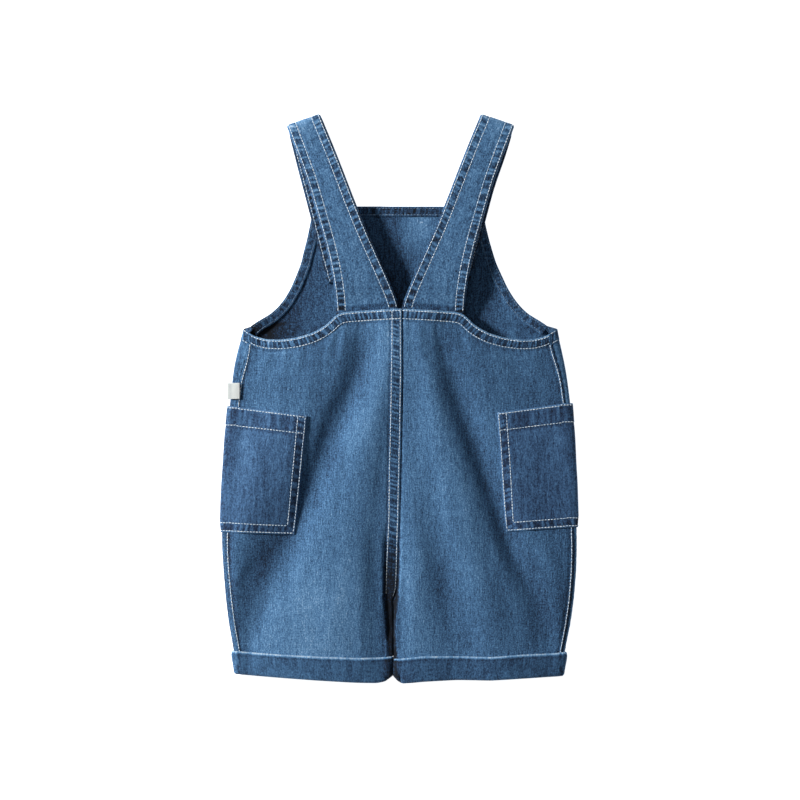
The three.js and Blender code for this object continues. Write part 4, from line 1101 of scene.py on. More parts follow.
def front_half(s):
    flat = fine(0, 1, 1 / 58)
    inn = np.array([60, 36, 16, 0.0]) * D2R
    ys_body = np.concatenate([-fine(-56.4, -45.8, 0.62)[:-1], -fine(-45.8, 198.0, 1.65)[:-1], -fine(198.0, 218.6, 0.9)])
    ys_bib = -fine(-154.4, -62.4, 1.65)
    rows = []
    for y in ys_bib:
        xe = look(ARMHOLE, y, 1 if s < 0 else 2)
        ze = look(ARMHOLE, y, 3)
        xi = float(centre_x(y)) if y < 72 else 0.8
        dd = np.linspace(0, 12.5, ANG_A + ANG_B)
        x = np.concatenate([xe - s * dd, lerp(xe - s * 12.5, xi + s * INSEAM, flat[1:]),
                            lerp(xi + s * INSEAM, xi, np.linspace(0.25, 1, 4))])
        z = np.full(len(x), float(bib_rise(y)))
        z[:ANG_A + ANG_B] += ze * (1 - dd / 12.5) ** 2
        rows.append(np.stack([x, np.full(len(x), y), z], 1))
    for y in ys_body:
        xf, xs = float(fold_x(y, s)), float(seam_x(y, s))
        fa = math.acos(max(0.02, 1 - abs(xs - xf) / FOLD_UP))
        up = np.linspace(fa - 0.004, 0, ANG_A)
        lo = np.linspace(0, 90 * D2R, ANG_B + 1)[1:]
        zm = float(fold_mid(y, s))
        xu = xf - s * FOLD_UP * (1 - np.cos(up))
        zu = lerp(zm, relief(xu, np.full_like(xu, y)), np.sin(up))
        xl = xf - s * FOLD_LOW * (1 - np.cos(lo))
        zl = lerp(zm, base(xl, y), np.sin(lo))
        xi = float(inner_x(y, s))
        xx = lerp(xf - s * FOLD_LOW, xi + s * INSEAM, flat[1:])
        zz = base(xx, y)
        xn = xi + s * INSEAM * (1 - np.cos(inn))
        zn = lerp(base(xn, y), float(inner_mid(y, s, -1)), float(legs(y)) * (1 - np.sin(inn)))
        x = np.concatenate([xu, xl, xx, xn])
        z = np.concatenate([zu, zl, zz, zn])
        # at the top the wrapped edge slants down to meet the back's hem
        yy = np.full(len(x), float(y))
        yy[:ANG_A] -= CORNER * (1 - np.linspace(0, 1, ANG_A)) * float(ease((y - 30) / 12))
        rows.append(np.stack([x, yy, z], 1))
    P = np.array(rows)
    return P, np.concatenate([ys_bib, ys_body])


def build_front():
    halves = {s: front_half(s) for s in (-1, 1)}
    ys = halves[-1][1]
    R, C = halves[-1][0].shape[:2]
    L, Rt = halves[-1][0], halves[1][0]
    above = ys >= CROTCH_Y
    # weld at the middle above the crotch
    m = (L[above, -1] + Rt[above, -1]) / 2
    L[above, -1] = m
    Rt[above, -1] = m
    for H in (L, Rt):
        X, Y = H[..., 0], H[..., 1]
        inside = ease((np.abs(H[..., 0] - 0) * -1 + 100) / 30)
        # the bib isn't ironed: slow waves that only ever rise off the surface
        wave = 0.5 + 0.5 * noise2(X, Y, (22, 34), 8)
        H[..., 2] += 0.7 * wave * ease((Y - 60) / 20) * ease((150 - Y) / 12) * ease((bib_edge(Y, np.sign(X)) - 6) / 10)
    ids_l = np.arange(R * C).reshape(R, C)
    ids_r = np.arange(R * C, 2 * R * C).reshape(R, C)
    ids_r[above, -1] = ids_l[above, -1]
    P = np.concatenate([L.reshape(-1, 3), Rt.reshape(-1, 3)])
    q = grid_quads(R, C)
    ql = ids_l.ravel()[q][:, ::-1]
    qr = ids_r.ravel()[q]
    Q = np.concatenate([ql, qr])
    used = np.unique(Q)
    new = np.full(len(P), -1)
    new[used] = np.arange(len(used))
    return P[used], new[Q], halves, ys, new, (ids_l, ids_r)


def bib_edge(y, s):
    """A fixed 30 mm, taken for how far inside the armhole edge a bib point at the middle lies; at that value the bib's
    edges are not calmed.
    """
    return np.full(np.shape(y), 30.0)


Pf, Qf, halves, front_ys, remap, front_ids = build_front()
nf = quad_normals(Pf, Qf)
down = nf[:, 2][(Pf[:, 2] < 2) & (np.abs(Pf[:, 0]) < 60)].mean()
if down > 0:
    Qf = Qf[:, ::-1]
    nf = -nf
side_sign = np.sign(Pf[:, 0])
tone_f = np.full(len(Pf), 0.5)
tone_in = np.full(len(Pf), 0.5)
X, Y, Zf = Pf.T
# wrap at the sides: seam edge, stitched ditch and wear
wrapY = Y < 57
for s in (-1, 1):
    v = np.abs(X - seam_x(Y, s))
    here = wrapY & (np.sign(X) == s) & (Zf > fold_mid(Y, s) - 1.5)
    Rs = rope(-Y + (75 if s < 0 else 25), 17, 5.4, 1.0)
    tone_f += here * ((0.20 if s < 0 else 0.16) * gauss(v - (0.9 if s < 0 else 1.7), 0.6) - (0.22 if s < 0 else 0.34) * gauss(v - 0.1, 0.6) + 0.07 * Rs * gauss(v - 2, 2.0))
    Pf = Pf + nf * (here * (0.12 * Rs * gauss(v - 2, 1.8)))[:, None]
# the back's turned hem runs on over the side fold
seam_f, core_f = np.zeros(len(Pf)), np.zeros(len(Pf))
for s in (-1, 1):
    here = (wrapY & (np.sign(X) == s) & (Zf > fold_mid(Y, s) - 2.2)).astype(float)
    dep = corner_depth(X, Y, s)
    seam_f = np.where(here > 0, 900 + np.abs(X) * 1.3 + 60 * s, seam_f)
    core_f = core_f + here * ease((dep - 0.5) / 0.8) * ease((8.3 - dep) / 0.8)
    tone_f += here * (-0.06 * core_f + 0.14 * gauss(dep - 0.1, 0.5) - 0.12 * gauss(dep - 9.8, 0.8))
    # painted shade where the tip of the hem lies deep in the armhole's corner
    hem_tip_shade = (np.sign(X) == s) * ease((np.abs(X) - 102) / 4) * ease((1.0 - dep) / 0.7) * ease((68 - Y) / 4)
    tone_f -= (0.46 if s < 0 else 0.20) * hem_tip_shade
    tone_in -= (0.40 if s < 0 else 0.10) * hem_tip_shade
    Pf = Pf + nf * (here * (0.30 * ease((9.2 - dep) / 0.9) - 0.18 * gauss(dep - 8.6, 0.5)))[:, None]
# painted shade between the legs, on the outer and the inner face
tone_f = lerp(tone_f, 0.06, between_legs(X, Y))
tone_in = lerp(tone_in, 0.06, between_legs(X, Y))
# painted shade on the left edge, which turns to the light, so that it doesn't glare
tone_f -= 0.16 * gauss(X - fold_x(Y, -1), 5.0) * ease((40 - Y) / 20)
tone_f += 0.04 * noise2(X, Y, (9, 30), 9) + 0.03 * noise2(X, Y, (30, 60), 10)
tone_in += 0.05 * noise2(X, Y, (14, 30), 11)
# inside: painted shade at the left of the V and below it, in the right armhole and in the left armhole's low corners;
# painted light on the lit patch in the V
tone_in -= 0.08 * ease((X + 36) / 12) * ease((11 - X) / 13) * ease((Y - 52) / 10)
tone_in -= 0.10 * ease((112 - Y) / 26) * ease((Y - 40) / 8) * ease((X + 40) / 20) * ease((60 - X) / 20)
tone_in -= 0.08 * ease((X - 44) / 14) * ease((82 - X + (120 - Y) * 0.10) / 16) * ease((140 - Y) / 20)
tone_in -= 0.12 * ease((-74 - X) / 12) * ease((84 - Y) / 18) + 0.16 * ease((-94 - X) / 12) * ease((68 - Y) / 10)
tone_in += 0.19 * ease((X + 4) / 14) * ease((34 - X) / 14) * ease((Y - 112) / 26)
tone_in -= 0.08 * ease((-48 - X) / 8) * ease((124 - Y) / 20)
uvf = np.stack([X, Y], 1)
uvf[:, 0] += np.where(np.abs(X) > 100, np.sign(X) * (8 - Zf), 0) * 0.6
front = shell("front", Pf, Qf, 1.15, uvf, tone_f, nf, inner_tone=tone_in, seam=seam_f, core=core_f)
finish_piece(front, BODY_FRONT)
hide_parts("front")
made["front"] = (front, None)
front_area = area_of(Pf, Qf)
th = Thread()
# outer face of the bib and the side wraps
for s in (-1, 1):
    # the two rows of the back's hem go on over the fold
    for dep in (1.0, 8.4):
        y = 56.4 - dep - CORNER * (1 - np.linspace(0, 1, 60))
        x = np.linspace(float(seam_x(y[0], s)) + s * 0.2, float(fold_x(y[-1], s)) - s * 0.5, 60)
        z = upper(x, y, s, False) + 0.25
        th.row(np.stack([x, y, z], 1), np.tile([s * 0.5, 0, 0.85], (60, 1)))
    # hidden side: armhole hem, two rows
    for inset in (1.2, 7.0):
        yy = np.linspace(153, 66, 300)
        xe = look(ARMHOLE, yy, 1 if s < 0 else 2)
        slope = np.gradient(xe, yy)
        k = np.sqrt(1 + slope ** 2)
        x = xe - s * inset * k
        z = bib_rise(yy) + look(ARMHOLE, yy, 3) * (1 - clamp01(inset * k / 12.5)) ** 2
        th.row(np.stack([x, yy, z], 1)[::-1], np.tile([0, 0, -1.0], (300, 1)))
for yy in (BIB_TOP - 1.2, BIB_TOP - 7.2):
    x = np.linspace(-68, 65.5, 300)
    wv = 0.5 + 0.5 * noise2(x, yy, (22, 34), 8)
    th.row(np.stack([x, np.full(300, yy), bib_rise(np.full(300, yy)) + 0.7 * wv * ease((150 - yy) / 12)], 1),
           np.tile([0, 0, -1.0], (300, 1)))
# buttonholes under the buttons: a closed row of close stitches
for s in (-1, 1):
    bx, by = BUTTONS[s]
    t = np.linspace(0, 2 * math.pi, 120)
    ex = bx + 1.9 * np.cos(t)
    ey = by + 12.5 * np.sin(t)
    z = bib_rise(ey) + 0.7 * (0.5 + 0.5 * noise2(ex, ey, (22, 34), 8)) * ease((150 - ey) / 12)
    th.row(np.stack([ex, ey, z], 1), np.tile([0, 0, -1.0], (120, 1)), pitch=0.8, width=1.3, height=0.3, fill=1.0, start=0.0)
threads["front"] = th

# ------------------------------------------------------------------ bib hems, seen on the inside
def hem_strip(name, outer, inner, z_out, z_in, node, seed, base_tone=0.5):
    """A strip between two rails (n x 2), with its two stitch rows."""
    seg = np.hypot(*np.diff((outer + inner) / 2, axis=0).T)
    run = np.concatenate([[0], np.cumsum(seg)])
    q = fine(0, run[-1], 0.8)

    def res(a):
        return np.stack([np.interp(q, run, a[:, k]) for k in range(a.shape[1])], 1)
    o, i = res(outer), res(inner)
    zo, zi = np.interp(q, run, z_out), np.interp(q, run, z_in)
    o, i, zo, zi = smooth1(o, 3), smooth1(i, 3), smooth1(zo, 3), smooth1(zi, 3)
    w = np.hypot(*(o - i).T).mean()
    c = fine(0, w, 0.72)
    f = (c / w)[None, :, None]
    xy = o[:, None] * (1 - f) + i[:, None] * f
    z = zo[:, None] * (1 - f[..., 0]) + zi[:, None] * f[..., 0]
    P = np.concatenate([xy, z[..., None]], -1)
    net = Net(P, q, c).face()
    R = rope(q[:, None] + 0.2 * c[None, :], seed, 7.0, 1.5)
    core = ease((c - 0.8) / 0.8) * ease((w - 1.4 - c) / 0.8)
    h = 0.20 * R * core[None] - 0.18 * (gauss(c - w + 1.2, 0.5) + gauss(c - 1.1, 0.5))[None]
    tone = base_tone + core[None] * (-0.02 + 0.05 * R) + 0.08 * gauss(c, 0.5)[None] + 0.06 * gauss(c - w, 0.5)[None]
    if name in ("front_hem_left", "front_hem_right"):        # the ends lie deep in the corners
        # painted shade on the ends, which lie deep in the corners
        tone = tone - (0.26 if name == "front_hem_left" else 0.04) * ease((q[:, None] - q[-1] + 11) / 8)
    N0 = net.N.copy()
    net.P = net.P + N0 * h[..., None]
    Pn = net.P.reshape(-1, 3)
    obj = shell(name, Pn, net.quads(), HEM * 0.95, Pn[:, :2].copy(), tone.ravel(), N0.reshape(-1, 3),
                seam=(q[:, None] + 0.2 * c[None, :] + 10 * seed).ravel(), core=(0.38 * core[None] * np.ones_like(R)).ravel())
    finish_piece(obj, DENIM_INSIDE_SHADED)
    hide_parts(node)
    net.normals()
    t = Thread()
    t.material = THREAD_INSIDE_SHADED
    for cc in (1.1, w - 1.2):
        p, n = net.at(q, np.full(len(q), cc))
        t.row(p, n, width=0.55)
    made[name] = (obj, net)
    threads[name] = t
    return net


def bib_top_z(x, y):
    wave = 0.5 + 0.5 * noise2(x, y, (22, 34), 8)
    return bib_rise(y) + CLOTH + 0.7 * wave * ease((y - 60) / 20) * ease((150 - y) / 12)


for side_name, s in (("left", -1), ("right", 1)):
    rows = ARMHOLE
    e = np.stack([rows[:, 1 if s < 0 else 2], rows[:, 0]], 1)
    tang = np.gradient(e, axis=0)
    tang /= np.linalg.norm(tang, axis=1)[:, None]
    inward = np.stack([tang[:, 1], -tang[:, 0]], 1)
    inward *= np.where(inward[:, :1] * s < 0, 1, -1)
    o, i = e.copy(), e + inward * 7.2
    o[0, 1] -= 7.9
    o[0, 0] += s * 0.9
    i[0] = (e[0, 0] - s * 7.2, o[0, 1])
    rise = rows[:, 3]
    zo = bib_top_z(o[:, 0], o[:, 1]) + 0.2 + HEM + rise
    zi = bib_top_z(i[:, 0], i[:, 1]) + 0.15 + HEM + rise * 0.5
    # the ends go on to the side seams, under the back's hem
    ex, m = e[-1, 0], s
    o = np.concatenate([o, [(ex + m * 3.4, 60.2), (ex + m * 6.0, 58.2)]])
    i = np.concatenate([i, [(i[-1, 0] + m * 3.0, i[-1, 1] - 2.8), (i[-1, 0] + m * 5.4, i[-1, 1] - 5.0)]])
    zo = np.concatenate([zo, [zo[-1] + 0.1, zo[-1] + 0.1]])
    zi = np.concatenate([zi, [zi[-1] - 0.3, zi[-1] - 0.5]])
    # the armhole hems start darker than the body: painted shade inside the bib
    hem_strip("front_hem_" + side_name, o, i, zo, zi, "front_hem_" + side_name, 21 if s < 0 else 22, 0.40)
x = np.linspace(-69.4, 66.8, 60)
o = np.stack([x, np.full(60, BIB_TOP)], 1)
i = np.stack([x, np.full(60, BIB_TOP - 7.6)], 1)
# the bib's top hem starts darker still: painted shade of the straps over it
hem_strip("front_hem_top", o, i, bib_top_z(x, BIB_TOP) + 0.15 + HEM, bib_top_z(x, BIB_TOP - 7.6) + 0.15 + HEM,
          "front_hem_top", 23, 0.33)
# turned hems under the back's top edge
for side_name, s in (("left", -1), ("right", 1)):
    g, top = top_curves(s)
    o, i = top[::4, 0:2], top[::4, 2:4]
    zo = upper(o[:, 0], o[:, 1], s, False) - 1.4
    zi = upper(i[:, 0], i[:, 1], s, False) - 1.4
    obj_net = hem_strip("back_hem_" + side_name, o, i, zo, zi, "back_hem_" + side_name, 24 if s < 0 else 25)
    threads.pop("back_hem_" + side_name)

# ------------------------------------------------------------------ straps
def rail(tab, s, dx=0.0):
    t = tab.copy()
    if s > 0:
        ease_in = ease((207 - t[:, 1]) / 40)
        t[:, 0], t[:, 2] = MIRROR - t[:, 0] + dx * ease_in, MIRROR - t[:, 2] + dx * ease_in
    return t


def strap_net(s):
    up = rail(STRAP_UP, s)
    for k in (0, 1):
        for a, b, c in ((0, 1, 4), (2, 3, 5)):
            up[k, c] = float(relief(up[k, a], up[k, b])) - CLOTH - GAP - HEM - GAP - STRAP / 2 - 0.15
    dn = rail(STRAP_DOWN, s, RIGHT_DOWN_SHIFT if s > 0 else 0.0)

    def spread(t, step=0.85, blur=7.0):
        mid = (t[:, 0:2] + t[:, 2:4]) / 2
        run = np.concatenate([[0], np.cumsum(np.hypot(*np.diff(mid, axis=0).T))])
        q = fine(0, run[-1], step)
        r = np.stack([np.interp(q, run, t[:, k]) for k in range(6)], 1)
        r[:, :4] = smooth1(r[:, :4], blur / step)
        r[:, 4:] = smooth1(r[:, 4:], 5.0 / step)
        return q, r

    qu, ru = spread(up)
    qd, rd = spread(dn)
    lastp = ru[-1]
    along = (ru[-1] - ru[-6])[[0, 1]]
    along /= np.linalg.norm(along)
    # the upper run comes down to the turn, and the lower one leaves it
    ru[:, 4:] += (TURN_Z + TURN_R - ru[-1, 4:]) * ease((qu - qu[-1] + 40) / 40)[:, None]
    a = np.linspace(0, math.pi, 12)[1:]
    turn = []
    for k in a:
        r = lastp.copy()
        r[0:2] += along * (TURN_R + 1.3) * math.sin(k)
        r[2:4] += along * (TURN_R + 1.3) * math.sin(k)
        r[4:] = TURN_Z + TURN_R * math.cos(k)
        turn.append(r)
    turn = np.array(turn)
    rd[:, 4:] += (TURN_Z - TURN_R - rd[0, 4:]) * ease((30 - qd) / 30)[:, None]
    # the gap from the lower run to the turn's end, scaled by 0, so the lower run stays where it is
    gap = turn[-1, :4] - rd[0, :4]
    rd[:, :4] += gap * ease((16 - qd) / 16)[:, None] * 0.0
    rows = np.concatenate([ru, turn, rd])
    run = np.concatenate([qu, qu[-1] + a / math.pi * 11.0, qu[-1] + 11.0 + 2.2 + qd])
    W = np.hypot(rows[:, 0] - rows[:, 2], rows[:, 1] - rows[:, 3])
    edge = fine(0, 9.6, 0.8)
    C = 2 * len(edge) + 16
    mid = np.linspace(0, 1, 18)[1:-1]
    P = np.zeros((len(rows), C, 3))
    dist = np.zeros((len(rows), C))
    for i, r in enumerate(rows):
        w = W[i]
        e = edge * min(1.0, (w / 2 - 1) / 9.6)
        dd = np.concatenate([e, lerp(e[-1], w - e[-1], mid), (w - e)[::-1]])
        f = dd / w
        P[i, :, 0] = lerp(r[0], r[2], f)
        P[i, :, 1] = lerp(r[1], r[3], f)
        P[i, :, 2] = lerp(r[4], r[5], f)
        dist[i] = dd
    # perpendicular distance from the edges: the rows are slanted near the base
    tang = np.gradient(P, axis=0)
    tang /= np.linalg.norm(tang, axis=2)[..., None]
    crossd = np.gradient(P, axis=1)
    crossd /= np.linalg.norm(crossd, axis=2)[..., None]
    sine = np.sqrt(np.clip(1 - (tang * crossd).sum(2) ** 2, 0.05, 1))
    out = dist * sine
    inn = (W[:, None] - dist) * sine
    return P, run, dist, out, inn, len(qu), len(a), W


for side_name, s in (("left", -1), ("right", 1)):
    P, run, dist, out, inn, n_up, n_turn, W = strap_net(s)
    R, C = P.shape[:2]
    net = Net(P, run, np.arange(C))
    up_now = net.N[20, :, 2].mean() > 0
    net.face(up_now)
    # lift from the middle of the cloth to its outer face
    base_n = net.N.copy()
    half = STRAP / 2
    a = run[:, None] * np.ones((1, C))
    h = np.full((R, C), half)
    tone = np.full((R, C), 0.47)
    seed = 31 if s < 0 else 37
    R1, R2 = rope(a + 0.35 * out, seed, 7.0, 1.5), rope(a - 0.35 * inn, seed + 1, 7.0, 1.5)
    pairs = []
    for dd, Rr in ((out, R1), (inn, R2)):
        core = ease((dd - 1.0) / 0.8) * ease((6.9 - dd) / 0.7)
        pairs.append((a + 0.2 * dd + (0 if dd is out else 700) + 13 * seed, core))
        h += 0.20 * Rr * core - 0.22 * gauss(dd - 7.0, 0.5) - 0.12 * gauss(dd - 1.0, 0.45)
        tone += core * (0.0 + 0.09 * Rr)
        # painted shade along the edges, which turn to the light
        tone -= 0.15 * gauss(dd, 0.6)
        far = ease((dd - 7.2) / 1.0) * np.exp(-np.maximum(dd - 7.2, 0) / 3.6)
        Rf = rope(a + 17 + 0.3 * dd, seed + 2, 5.8, 1.3)
        h += 0.16 * Rf * far
        tone += (0.10 * Rf - 0.02) * far
    # rounded edges
    near = np.minimum(out, inn)
    h -= 0.55 * np.clip(1 - near / 1.1, 0, 1) ** 2
    # soft lift along the middle, and slow ripples along the length
    m = np.clip((near - 7) / 8, 0, 1)
    h += 0.10 * m + 0.10 * noise2(a, out, (14, 8), 12) * ease(near / 5) + 0.05 * noise2(a, out, (5, 4), 13)
    tone += 0.05 * m + 0.05 * noise2(a, out, (22, 6), 14) + 0.07 * noise2(a, out, (5, 3.2), 2) * m
    # painted shade on the part that lies underneath
    tone -= 0.09 * ease((a - run[n_up - 1] - 9) / 6)
    # pale where it is folded over; painted shade where it tucks under the yoke
    fold_at = run[n_up - 1] + 5.5
    tone += 0.16 * gauss(a - fold_at, 5.0) + 0.05 * gauss(a - fold_at + 14, 14)
    tone -= 0.20 * ease((12.5 - a) / 3.0)
    h += 0.14 * rope(out + 3, seed + 3, 6.4, 1.6) * ease((a - 9) / 2) * np.exp(-np.maximum(a - 11, 0) / 7)
    tone += 0.06 * rope(out + 3, seed + 3, 6.4, 1.6) * ease((a - 9) / 2) * np.exp(-np.maximum(a - 11, 0) / 7)
    # a small hem across the hidden end
    left = run[-1] - a
    h += 0.5 * ease((9.0 - left) / 1.0)
    tone += 0.14 * gauss(left - 0.2, 0.6)
    net.P = P + base_n * h[..., None]
    Pn = net.P.reshape(-1, 3)
    uv = np.stack([out, a], -1).reshape(-1, 2)
    way, core = strongest(*pairs)
    obj = shell("strap_" + side_name, Pn, net.quads(), STRAP, uv, tone.ravel(), base_n.reshape(-1, 3), bulge=0.28,
                seam=way, core=core, both=1.0)
    finish_piece(obj, STRAPS)
    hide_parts("strap_" + side_name)
    net.normals()
    made["strap_" + side_name] = (obj, net)
    th = Thread()
    sel = run > 6

    def strap_row(field, want):
        ids = np.array([np.interp(want, field[k] if field[k, 0] < field[k, -1] else field[k, ::-1],
                                  np.arange(C) if field[k, 0] < field[k, -1] else np.arange(C)[::-1]) for k in range(R)])
        p, n = net.at(run[sel], ids[sel])
        th.row(p, n)
    for want in (1.15, 7.0):
        strap_row(out, want)
        strap_row(inn, want)
    under = run > run[n_up - 1] + 14
    for field in (out, inn):
        for want in (1.3, 7.0):
            ids = np.array([np.interp(want, *((field[k], np.arange(C)) if field[k, 0] < field[k, -1]
                                              else (field[k, ::-1], np.arange(C)[::-1]))) for k in range(R)])
            p, n = net.at(run[under], ids[under])
            th.row(p - n * (STRAP - 0.1), -n)
    # across the hidden end
    for left_mm in (1.2, 7.8):
        c = np.linspace(1.5, C - 2.5, 120)
        p, n = net.at(np.full(120, run[-1] - left_mm), c)
        th.row(p, n)
    threads["strap_" + side_name] = th

# ------------------------------------------------------------------ pockets
for side_name, s in (("left", -1), ("right", 1)):
    k = POCKET[s]
    H = math.hypot(k["cx"] - k["fx"], k["cy"] - k["fy"])
    v = fine(0, H, 0.85)
    rows, arcs, kinds = [], [], []
    for vv in v:
        t = vv / H
        xin, yin = lerp(k["cx"], k["fx"], t), lerp(k["cy"], k["fy"], t)
        yf = lerp(k["fold"], k["sole"], t)
        yh = yf + POCKET_RISE * (1 - t)
        xf = float(fold_x(yf, s))
        x_up, x_low = xf - s * FOLD_UP, xf - s * FOLD_LOW
        f = np.concatenate([fine(0, 0.2, 0.0145), fine(0.2, 1, 0.0165)[1:]])
        x1 = lerp(xin, x_up, f)
        y1 = lerp(yin, yf, f * 0.9)
        z1 = relief(x1, y1)
        ang = np.array([80, 70, 60, 50, 40, 30, 20, 10, 0]) * D2R
        x2 = xf - s * FOLD_UP * (1 - np.cos(ang))
        y2 = np.full(9, yf)
        zm = float(fold_mid(yf, s))
        z2 = lerp(zm, relief(x2, y2), np.sin(ang))
        ang3 = np.array([12, 25, 38, 51, 64, 77, 90]) * D2R
        x3 = xf - s * FOLD_LOW * (1 - np.cos(ang3))
        z3 = lerp(zm, base(x3, yf), np.sin(ang3))
        f4 = fine(0, 1, 1 / 30)[1:]
        x4 = lerp(x_low, xf - s * POCKET_REACH, f4)
        y4 = lerp(yf, yh, f4)
        z4 = base(x4, y4)
        rows.append(np.stack([np.concatenate([x1, x2, x3, x4]), np.concatenate([y1, y2, np.full(7, yf), y4]),
                              np.concatenate([z1, z2, z3, z4])], 1))
    P = np.array(rows)
    # the number of points on the flat part up to the fold, and the length along the middle row
    n1 = len(f)
    arc = np.concatenate([[0], np.cumsum(np.linalg.norm(np.diff(P[len(v) // 2], axis=0), axis=1))])
    net = Net(P, v, arc)
    net.face(net.N[:, 5, 2].mean() > 0)
    N0 = net.N.copy()
    A, V2 = np.meshgrid(arc, v)
    Ltot = arc[-1]
    upper_side = A < arc[n1 + 8]
    # lift over the body: sewn down along three edges, a little loose inside and at the mouth
    inset = np.minimum(np.minimum(A, Ltot - A), H - V2)
    lift = 1.30 + 0.5 * ease((inset - 1) / 7)
    lift = np.where(A > arc[n1 + 8] + 3, 1.8, lift)
    h = lift.copy()
    # the right pocket starts darker than the left: painted shade on the side away from the light
    tone = np.full(A.shape, 0.44 if s < 0 else 0.40)
    pairs = []
    mouth = V2
    seed = 41 if s < 0 else 46
    HEMW = 14.0
    # mouth hem: 14 mm, slightly thicker, with soft wide puckers
    Rm = rope(A + 0.15 * V2, seed, 8.4, 2.0)
    band = ease((HEMW + 0.8 - mouth) / 1.0)
    h += 0.30 * band + 0.16 * Rm * ease(mouth / 2) * ease((HEMW - mouth) / 2)
    tone += band * (-0.05) + 0.07 * Rm * ease(mouth / 2) * ease((HEMW - mouth) / 2)
    h -= 0.18 * gauss(mouth - HEMW, 0.5) + 0.16 * gauss(mouth - HEMW - 1.6, 0.8)
    tone += 0.20 * gauss(mouth - 0.1, 0.6) - 0.10 * gauss(mouth - HEMW - 1.6, 0.8)
    Rp = rope(A + 9, seed + 1, 5.4, 1.2)
    fall = ease((mouth - HEMW - 0.8) / 1.2) * np.exp(-np.maximum(mouth - HEMW - 0.8, 0) / 4.5)
    h += 0.16 * Rp * fall
    tone += 0.07 * Rp * fall
    # double rows down the inner edge and along the foot
    for dd, along, sd in ((A, V2, seed + 2), (Ltot - A, V2, seed + 3), (H - V2, A, seed + 4)):
        Rr = rope(along + 0.3 * dd, sd, 7.0, 1.5)
        core = ease((dd - 1.0) / 0.8) * ease((6.9 - dd) / 0.8)
        pairs.append((along + 0.2 * dd + 37 * sd, 0.7 * core))
        h += 0.18 * Rr * core - 0.18 * gauss(dd - 7.0, 0.5) - 0.1 * gauss(dd - 1.0, 0.45)
        tone += core * (-0.01 + 0.06 * Rr) + 0.20 * gauss(dd - 0.1, 0.6)
        far = ease((dd - 7.3) / 1.0) * np.exp(-np.maximum(dd - 7.3, 0) / 4.0)
        Rf = rope(along + 5 + 0.2 * dd, sd + 20, 5.8, 1.3)
        h += 0.15 * Rf * far
        tone += (0.07 * Rf - 0.02) * far
    h += 0.12 * noise2(A, V2, (12, 26), 14) * ease(inset / 8) + 0.04 * noise2(A, V2, (4, 7), 15)
    tone += 0.045 * noise2(A, V2, (16, 30), 3)
    # painted shade along the left fold, which turns to the light, so that it doesn't glare
    if s < 0:
        tone -= 0.12 * gauss(P[..., 0] - fold_x(P[..., 1], -1), 6.0)
    # the left pocket is bright on its left half, where it turns to the light
    tone += 0.03 * (1 if s < 0 else 0) * ease((A - 25) / 25)
    net.P = P + N0 * h[..., None]
    low = net.P[..., 2] < 0.02
    net.P[..., 2] = np.maximum(net.P[..., 2], 0.02)
    Pn = net.P.reshape(-1, 3)
    uv = np.stack([A, V2], -1).reshape(-1, 2)
    pairs.append((A + 37 * seed, 0.35 * ease((mouth - 1.5) / 1.2) * ease((HEMW - 1 - mouth) / 1.2)))
    way, core = strongest(*pairs)
    obj = shell("pocket_" + side_name, Pn, net.quads(), 1.05, uv, tone.ravel(), N0.reshape(-1, 3), seam=way, core=core)
    finish_piece(obj, POCKETS)
    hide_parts("pocket_" + side_name)
    net.normals()
    made["pocket_" + side_name] = (obj, net)
    th = Thread()
    q = np.linspace(0, 1, 500)
    for vv in (1.0, HEMW, H - 7.0, H - 1.0):
        p, n = net.at(np.full(500, vv), lerp(0.8 if vv != H - 7.0 else 6.9, Ltot - 1.0, q))
        th.row(p, n)
    for aa in (1.0, 7.0, Ltot - 7.0, Ltot - 1.0):
        p, n = net.at(lerp(0.9, H - (1.0 if aa in (1.0, Ltot - 1.0) else 7.0), q), np.full(500, aa))
        th.row(p, n)
    threads["pocket_" + side_name] = th

